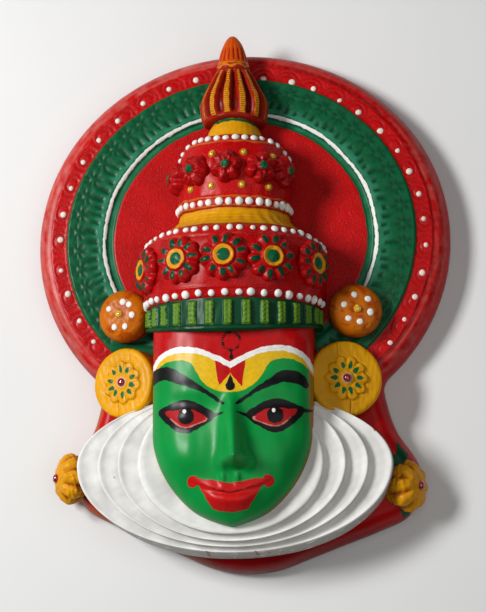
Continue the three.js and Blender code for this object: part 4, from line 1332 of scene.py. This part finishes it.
def ear_dome(seed):
    """A rounded boss with a turned line and a crack, darker towards the board."""
    profile = [(0.8, -20), (0.9, -10), (0.94, 0), (0.985, 4), (1.0, 7), (0.985, 10), (0.93, 12.6),
               (0.84, 14.6), (0.7, 16.2), (0.5, 17.0), (0.3, 17.2), (0.02, 17.2)]
    path = evenly(curve_through(np.array(profile) * (DOME_RADIUS, 1.0), 6), 60)
    x, y, z, r, spin = turned_grid(path, 160)
    line = bell(r, 13.5, 0.7) * (ripple(x, y, 14, seed + 1) > 0.1)
    crack = bell(y - 0.35 * x + 0.8 * ripple(x, y, 8, seed + 2), 0, 0.25) * smooth(7, 9, r) * (x > 0)
    z = z + 0.35 * ripple(x, y, 9, seed) - 0.5 * line - 0.5 * crack
    shade = smooth(8.0, 2.0, z) + 0.45 * ripple(x, y, 12, seed + 3) - 0.25
    return tube(np.stack([x, y, z], -1), {"shade": shade, "crease": crack * 2 - 0.8})


def dome_dots(side, seed):
    """The white dots round a dome's stone."""
    rng = np.random.default_rng(seed)
    dots = []
    for k, angle in enumerate(DOME_DOTS[side]):
        at = np.radians(angle)
        far = rng.uniform(9.0, 10.0)
        dot = bead(2.2 * rng.uniform(0.92, 1.12), 0.9, seed + k)
        place = (far * np.cos(at), far * np.sin(at), DOME_DOTS_HEIGHT)
        dots.append(dot.moved(lambda points, place=place: points + place))
    return joined(dots)


def side_flower(seed):
    """A bulging flower of eight broad lobes that faces outwards."""
    profile = [(0.6, -14), (0.8, -7), (0.93, -1), (1.0, 2.5), (0.97, 5.5), (0.88, 8.2), (0.74, 10.4),
               (0.58, 11.6), (0.46, 11.9), (0.38, 12.6), (0.3, 13.0), (0.02, 13.0)]
    path = evenly(curve_through(np.array(profile) * (FLOWER_RADIUS, 1.0), 8), 76)
    _, _, z, r, spin = turned_grid(path, 220)
    notch = notches(spin, FLOWER_PETALS, 2.2)
    outer = smooth(0.42, 0.8, r / FLOWER_RADIUS)
    double = np.abs(np.sin(spin * FLOWER_PETALS)) ** 3 * smooth(6, 9, z)
    lumps = 1 + 0.55 * ripple(spin * 14, z * 1.5, 5, seed) / FLOWER_RADIUS
    wide = r * (1 - 0.13 * notch * outer - 0.02 * double) * lumps
    x, y = wide * np.cos(spin), wide * np.sin(spin)
    z = z - 1.2 * notch * outer * smooth(0, 6, z) + 0.4 * ripple(x, y, 5, seed)
    # Painted shade between the lobes
    crease = notch * outer * 2.0 - 1.2 + 0.5 * ripple(spin * 14, z, 4, seed + 1)
    shade = smooth(4.0, -4.0, z) + 0.4 * ripple(x, y + z, 9, seed + 2) - 0.6
    return tube(np.stack([x, y, z], -1), {"crease": crease, "shade": shade})


def gem_placed(radius, lift, at, cant):
    """An eight-sided stone, lifted over the middle of the form it is set in."""
    return turned(gem(radius, 8).moved(lambda points: points + (0, 0, lift)), at, cant)


def build_board():
    layers = [("green", LEAF_GREEN), ("line", WHITE), ("leaf", darker(LEAF_GREEN, 0.6)),
              ("edge_wear_and_light", WORN_LIT_ORANGE)]
    # The rim wash is a painted sheen
    washes = [("rim", SHEEN_RED), ("pale_green", MID_GREEN)]
    paint = enamel("board enamel", RED, layers, speckle=0.6, stroke_depth=0.16, coat=0.14, washes=washes)
    add_piece("backboard", backboard(), paint, "board_paint", "backboard")
    dots = enamel("dot enamel", (0.8, 0.72, 0.62), gloss=0.3)
    add_piece("halo_dots", halo_dots(), dots, "white_paint")


def build_crown():
    layers = [("yellow", OCHRE), ("orange", ORANGE), ("top_green", LEAF_GREEN)]
    red = enamel("crown enamel", RED, layers, crease="groove", speckle=0.55, stroke_depth=0.2, coat=0.16)
    add_piece("crown_tiers", crown_tiers(), red, "crown_paint", "crown")
    dark_green = darker(LEAF_GREEN, 0.5)
    green = enamel("drum enamel", dark_green, [("bars", BAR_GREEN)], crease="gaps", crease_shade_colour=dark_green,
                   gloss=0.5, stroke_depth=0.24, coat=0.14)
    add_piece("crown_drum", drum(), green, "crown_paint")
    carved = {"crease": "crease", "gloss": 0.36, "stroke_depth": 0.26, "coat": 0.16}
    layers = [("marks", dark_green), ("ring", OCHRE), ("core", LEAF_GREEN)]
    petals = enamel("rosette enamel", darker(RED, 0.92), layers, **carved)
    for k, (angle, y) in enumerate(LOWER_ROSETTES):
        flower = place_on_crown(rosette(SEEDS["rosette"] + k), angle, y)
        add_piece(f"rosette_{k + 1}", flower, petals, "crown_paint")
    lumps = enamel("boss enamel", darker(RED, 0.8), [("core", LEAF_GREEN)], **carved)
    for k, (angle, y) in enumerate(UPPER_BOSSES):
        flower = place_on_crown(boss(SEEDS["boss"] + k), angle, y)
        add_piece(f"boss_{k + 1}", flower, lumps, "crown_paint")
    add_piece("crown_beads", crown_beads(), enamel("bead enamel", WHITE, gloss=0.28), "white_paint")


def build_crown_gems(yellow, gold):
    for k, (angle, y) in enumerate(CROWN_STONES):
        stone = place_on_crown(gem(CROWN_STONE, 6, sink=0.6), angle, y, 0.3)
        add_piece(f"crown_stone_{k + 1}", stone, yellow, "yellow_stone", f"crown_gem_{k + 1}")
        setting = place_on_crown(socket_ring(CROWN_STONE), angle, y, 0.2)
        add_piece(f"crown_setting_{k + 1}", setting, gold, "crown_paint")


def build_disc(side, seed, paint, red_stone, pearl):
    place = (DISC_AT, DISC_CANT)
    disc = sided(turned(ear_disc(DISC_RADII[side], seed), *place), side).moved(seated)
    add_piece(f"disc_{side}", disc, paint, "disc_paint", f"ear_disc_{side}")
    stone = sided(gem_placed(*DISC_STONE, *place), side)
    add_piece(f"disc_stone_{side}", stone, red_stone, "red_stone", f"ear_disc_gem_{side}")
    setting = socket_ring(*DISC_SETTING).moved(lambda points: points + (0, 0, DISC_STONE[1]))
    add_piece(f"disc_setting_{side}", sided(turned(setting, *place), side), pearl, "white_paint")


def build_dome(side, seed, dots_seed, paint, white, yellow_stone):
    place = (DOME_AT, DOME_CANT)
    dome = sided(turned(ear_dome(seed), *place), side, DOME_SHIFT).moved(seated)
    add_piece(f"dome_{side}", dome, paint, "dome_paint", f"ear_dome_{side}")
    dots = sided(turned(dome_dots(side, dots_seed), *place), side, DOME_SHIFT)
    add_piece(f"dome_dots_{side}", dots, white, "white_paint")
    stone = sided(gem_placed(*DOME_STONE, *place), side, DOME_SHIFT)
    add_piece(f"dome_stone_{side}", stone, yellow_stone, "yellow_stone", f"ear_dome_gem_{side}")


def build_flower(side, seed, paint, red_stone):
    place = (FLOWER_AT, FLOWER_CANT)
    drop = -FLOWER_DROP if side == "right" else FLOWER_DROP
    flower = sided(turned(side_flower(seed), *place), side, 0, drop).moved(seated_flower)
    add_piece(f"flower_{side}", flower, paint, "flower_paint", f"side_flower_{side}")
    stone = sided(gem_placed(*FLOWER_STONE, *place), side, 0, drop)
    add_piece(f"flower_stone_{side}", stone, red_stone, "red_stone", f"side_flower_gem_{side}")


def build_sides(red_stone, yellow_stone, pearl):
    shade = ("shade", (0.5, 0.17, 0.003))
    disc_paint = enamel("disc enamel", (0.74, 0.34, 0.002), [shade, ("marks", (0.002, 0.12, 0.03))],
                        crease="crease", crease_shade_colour=(0.28, 0.012, 0.002))
    dome_paint = enamel("dome enamel", (0.52, 0.13, 0.002), [("shade", (0.42, 0.06, 0.002))],
                        crease="crease", crease_shade_colour=(0.2, 0.015, 0.002))
    flower_paint = enamel("flower enamel", (0.68, 0.29, 0.003), [shade],
                          crease="crease", crease_shade_colour=(0.24, 0.012, 0.002))
    white = enamel("dome dot enamel", WHITE, gloss=0.3)
    for number, side in enumerate(("left", "right")):
        build_disc(side, SEEDS["disc"] + number, disc_paint, red_stone, pearl)
        dots_seed = SEEDS["dome_dots"] + 10 * number
        build_dome(side, SEEDS["dome"] + number, dots_seed, dome_paint, white, yellow_stone)
        build_flower(side, SEEDS["flower"] + number, flower_paint, red_stone)


def build_face():
    layers = [("edge", (0.3, 0.15, 0.01)), ("yellow", BRIGHT_YELLOW), ("headband", RED), ("marks", RED),
              ("white", WHITE), ("black", BLACK), ("sclera", (0.42, 0.008, 0.01)), ("rim", (0.6, 0.2, 0.15)),
              ("pupil", BLACK), ("glint", WHITE), ("lips", LIP_RED), ("parting", (0.2, 0.002, 0.003))]
    material = enamel("face enamel", FACE_GREEN, layers, gloss=0.42, stroke_depth=0.07, coat=0.2)
    add_piece("face_block", face(), material, "face_paint", "face")


def build_chutti():
    # The grey "wall" layer is painted shade on the collar's outer wall
    material = enamel("collar enamel", WHITE, [("wall", (0.5, 0.49, 0.45)), ("chips", WOOD)], gloss=0.42,
                      stretch=(0.35, 1, 1), stroke_depth=0.16)
    add_piece("collar", chutti(), material, "white_paint", "chutti")


def build_finial():
    layers = [("rib", (0.5, 0.075, 0.003)), ("yellow", (0.66, 0.27, 0.004)), ("marks", (0.3, 0.04, 0.003)),
              ("cone", FINIAL_ORANGE), ("streaks", (0.36, 0.02, 0.002)), ("collar", (0.62, 0.17, 0.006))]
    # The crease colour is painted shade in the flutes
    material = enamel("finial enamel", (0.3, 0.012, 0.003), layers, crease="crease",
                      crease_shade_colour=(0.11, 0.002, 0.001), gloss=0.45, stroke_depth=0.24)
    add_piece("finial_carving", finial(), material, "finial_paint", "finial")


# Floor, lights and camera


def add_floor():
    mesh = bpy.data.meshes.new("floor")
    corners = [(x * FLOOR_HALF, y * FLOOR_HALF, 0) for x, y in ((-1, -1), (1, -1), (1, 1), (-1, 1))]
    mesh.from_pydata(corners, [], [(0, 1, 2, 3)])
    g = Graph("floor")
    tone = g.blend(g.spread(g.noise(3, 2.0), 0.3, 0.7), (0.7, 0.7, 0.69), (0.74, 0.74, 0.73))
    mesh.materials.append(g.finish(g.node("ShaderNodeBsdfPrincipled", Base_Color=tone, Roughness=0.8)))
    floor = bpy.data.objects.new("floor", mesh)
    bpy.context.scene.collection.objects.link(floor)


def add_light(name, place, size, watts):
    light = bpy.data.lights.new(name, "AREA")
    light.shape = "RECTANGLE"
    light.size, light.size_y = size
    light.energy = watts
    lamp = bpy.data.objects.new(name, light)
    lamp.location = place
    lamp.rotation_euler = (Vector(LIT_POINT) - Vector(place)).to_track_quat("-Z", "Y").to_euler()
    bpy.context.scene.collection.objects.link(lamp)


def add_camera():
    a, b = np.radians(VIEW_TURN), np.radians(VIEW_DROP)
    back = Vector((np.sin(a) * np.cos(b), -np.sin(b), np.cos(a) * np.cos(b)))
    right = Vector((np.cos(a), 0, -np.sin(a)))
    up = back.cross(right)
    data = bpy.data.cameras.new("camera")
    data.sensor_fit = "VERTICAL"
    data.sensor_height = SENSOR
    data.lens = FOCAL_PIXELS / PHOTO_HEIGHT * SENSOR
    data.clip_end = 20
    camera = bpy.data.objects.new("camera", data)
    place = (Vector(VIEW_TARGET) + back * VIEW_DISTANCE) * MM
    turn = Matrix((right, up, back)).transposed().to_4x4()
    camera.matrix_world = Matrix.Translation(place) @ turn
    bpy.context.scene.collection.objects.link(camera)
    bpy.context.scene.camera = camera


def add_studio():
    bpy.context.scene.view_settings.view_transform = "Standard"
    add_floor()
    add_light("key", *KEY_LIGHT)
    add_light("fill", *FILL_LIGHT)
    world = bpy.data.worlds.new("studio")
    bpy.context.scene.world = world
    world.use_nodes = True
    sky = world.node_tree.nodes["Background"]
    sky.inputs["Color"].default_value = (1, 1, 1, 1)
    sky.inputs["Strength"].default_value = SKY_STRENGTH
    add_camera()


def main():
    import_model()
    red_stone = glass_stone("red glass", (0.3, 0.004, 0.02))
    yellow_stone = glass_stone("yellow glass", (0.9, 0.5, 0.02))
    gold = enamel("setting enamel", (0.5, 0.12, 0.01), gloss=0.3)
    pearl = enamel("disc setting enamel", (0.66, 0.42, 0.36), gloss=0.3)
    build_board()
    build_crown()
    build_crown_gems(yellow_stone, gold)
    build_finial()
    build_face()
    build_chutti()
    build_sides(red_stone, yellow_stone, pearl)
    add_studio()


main()
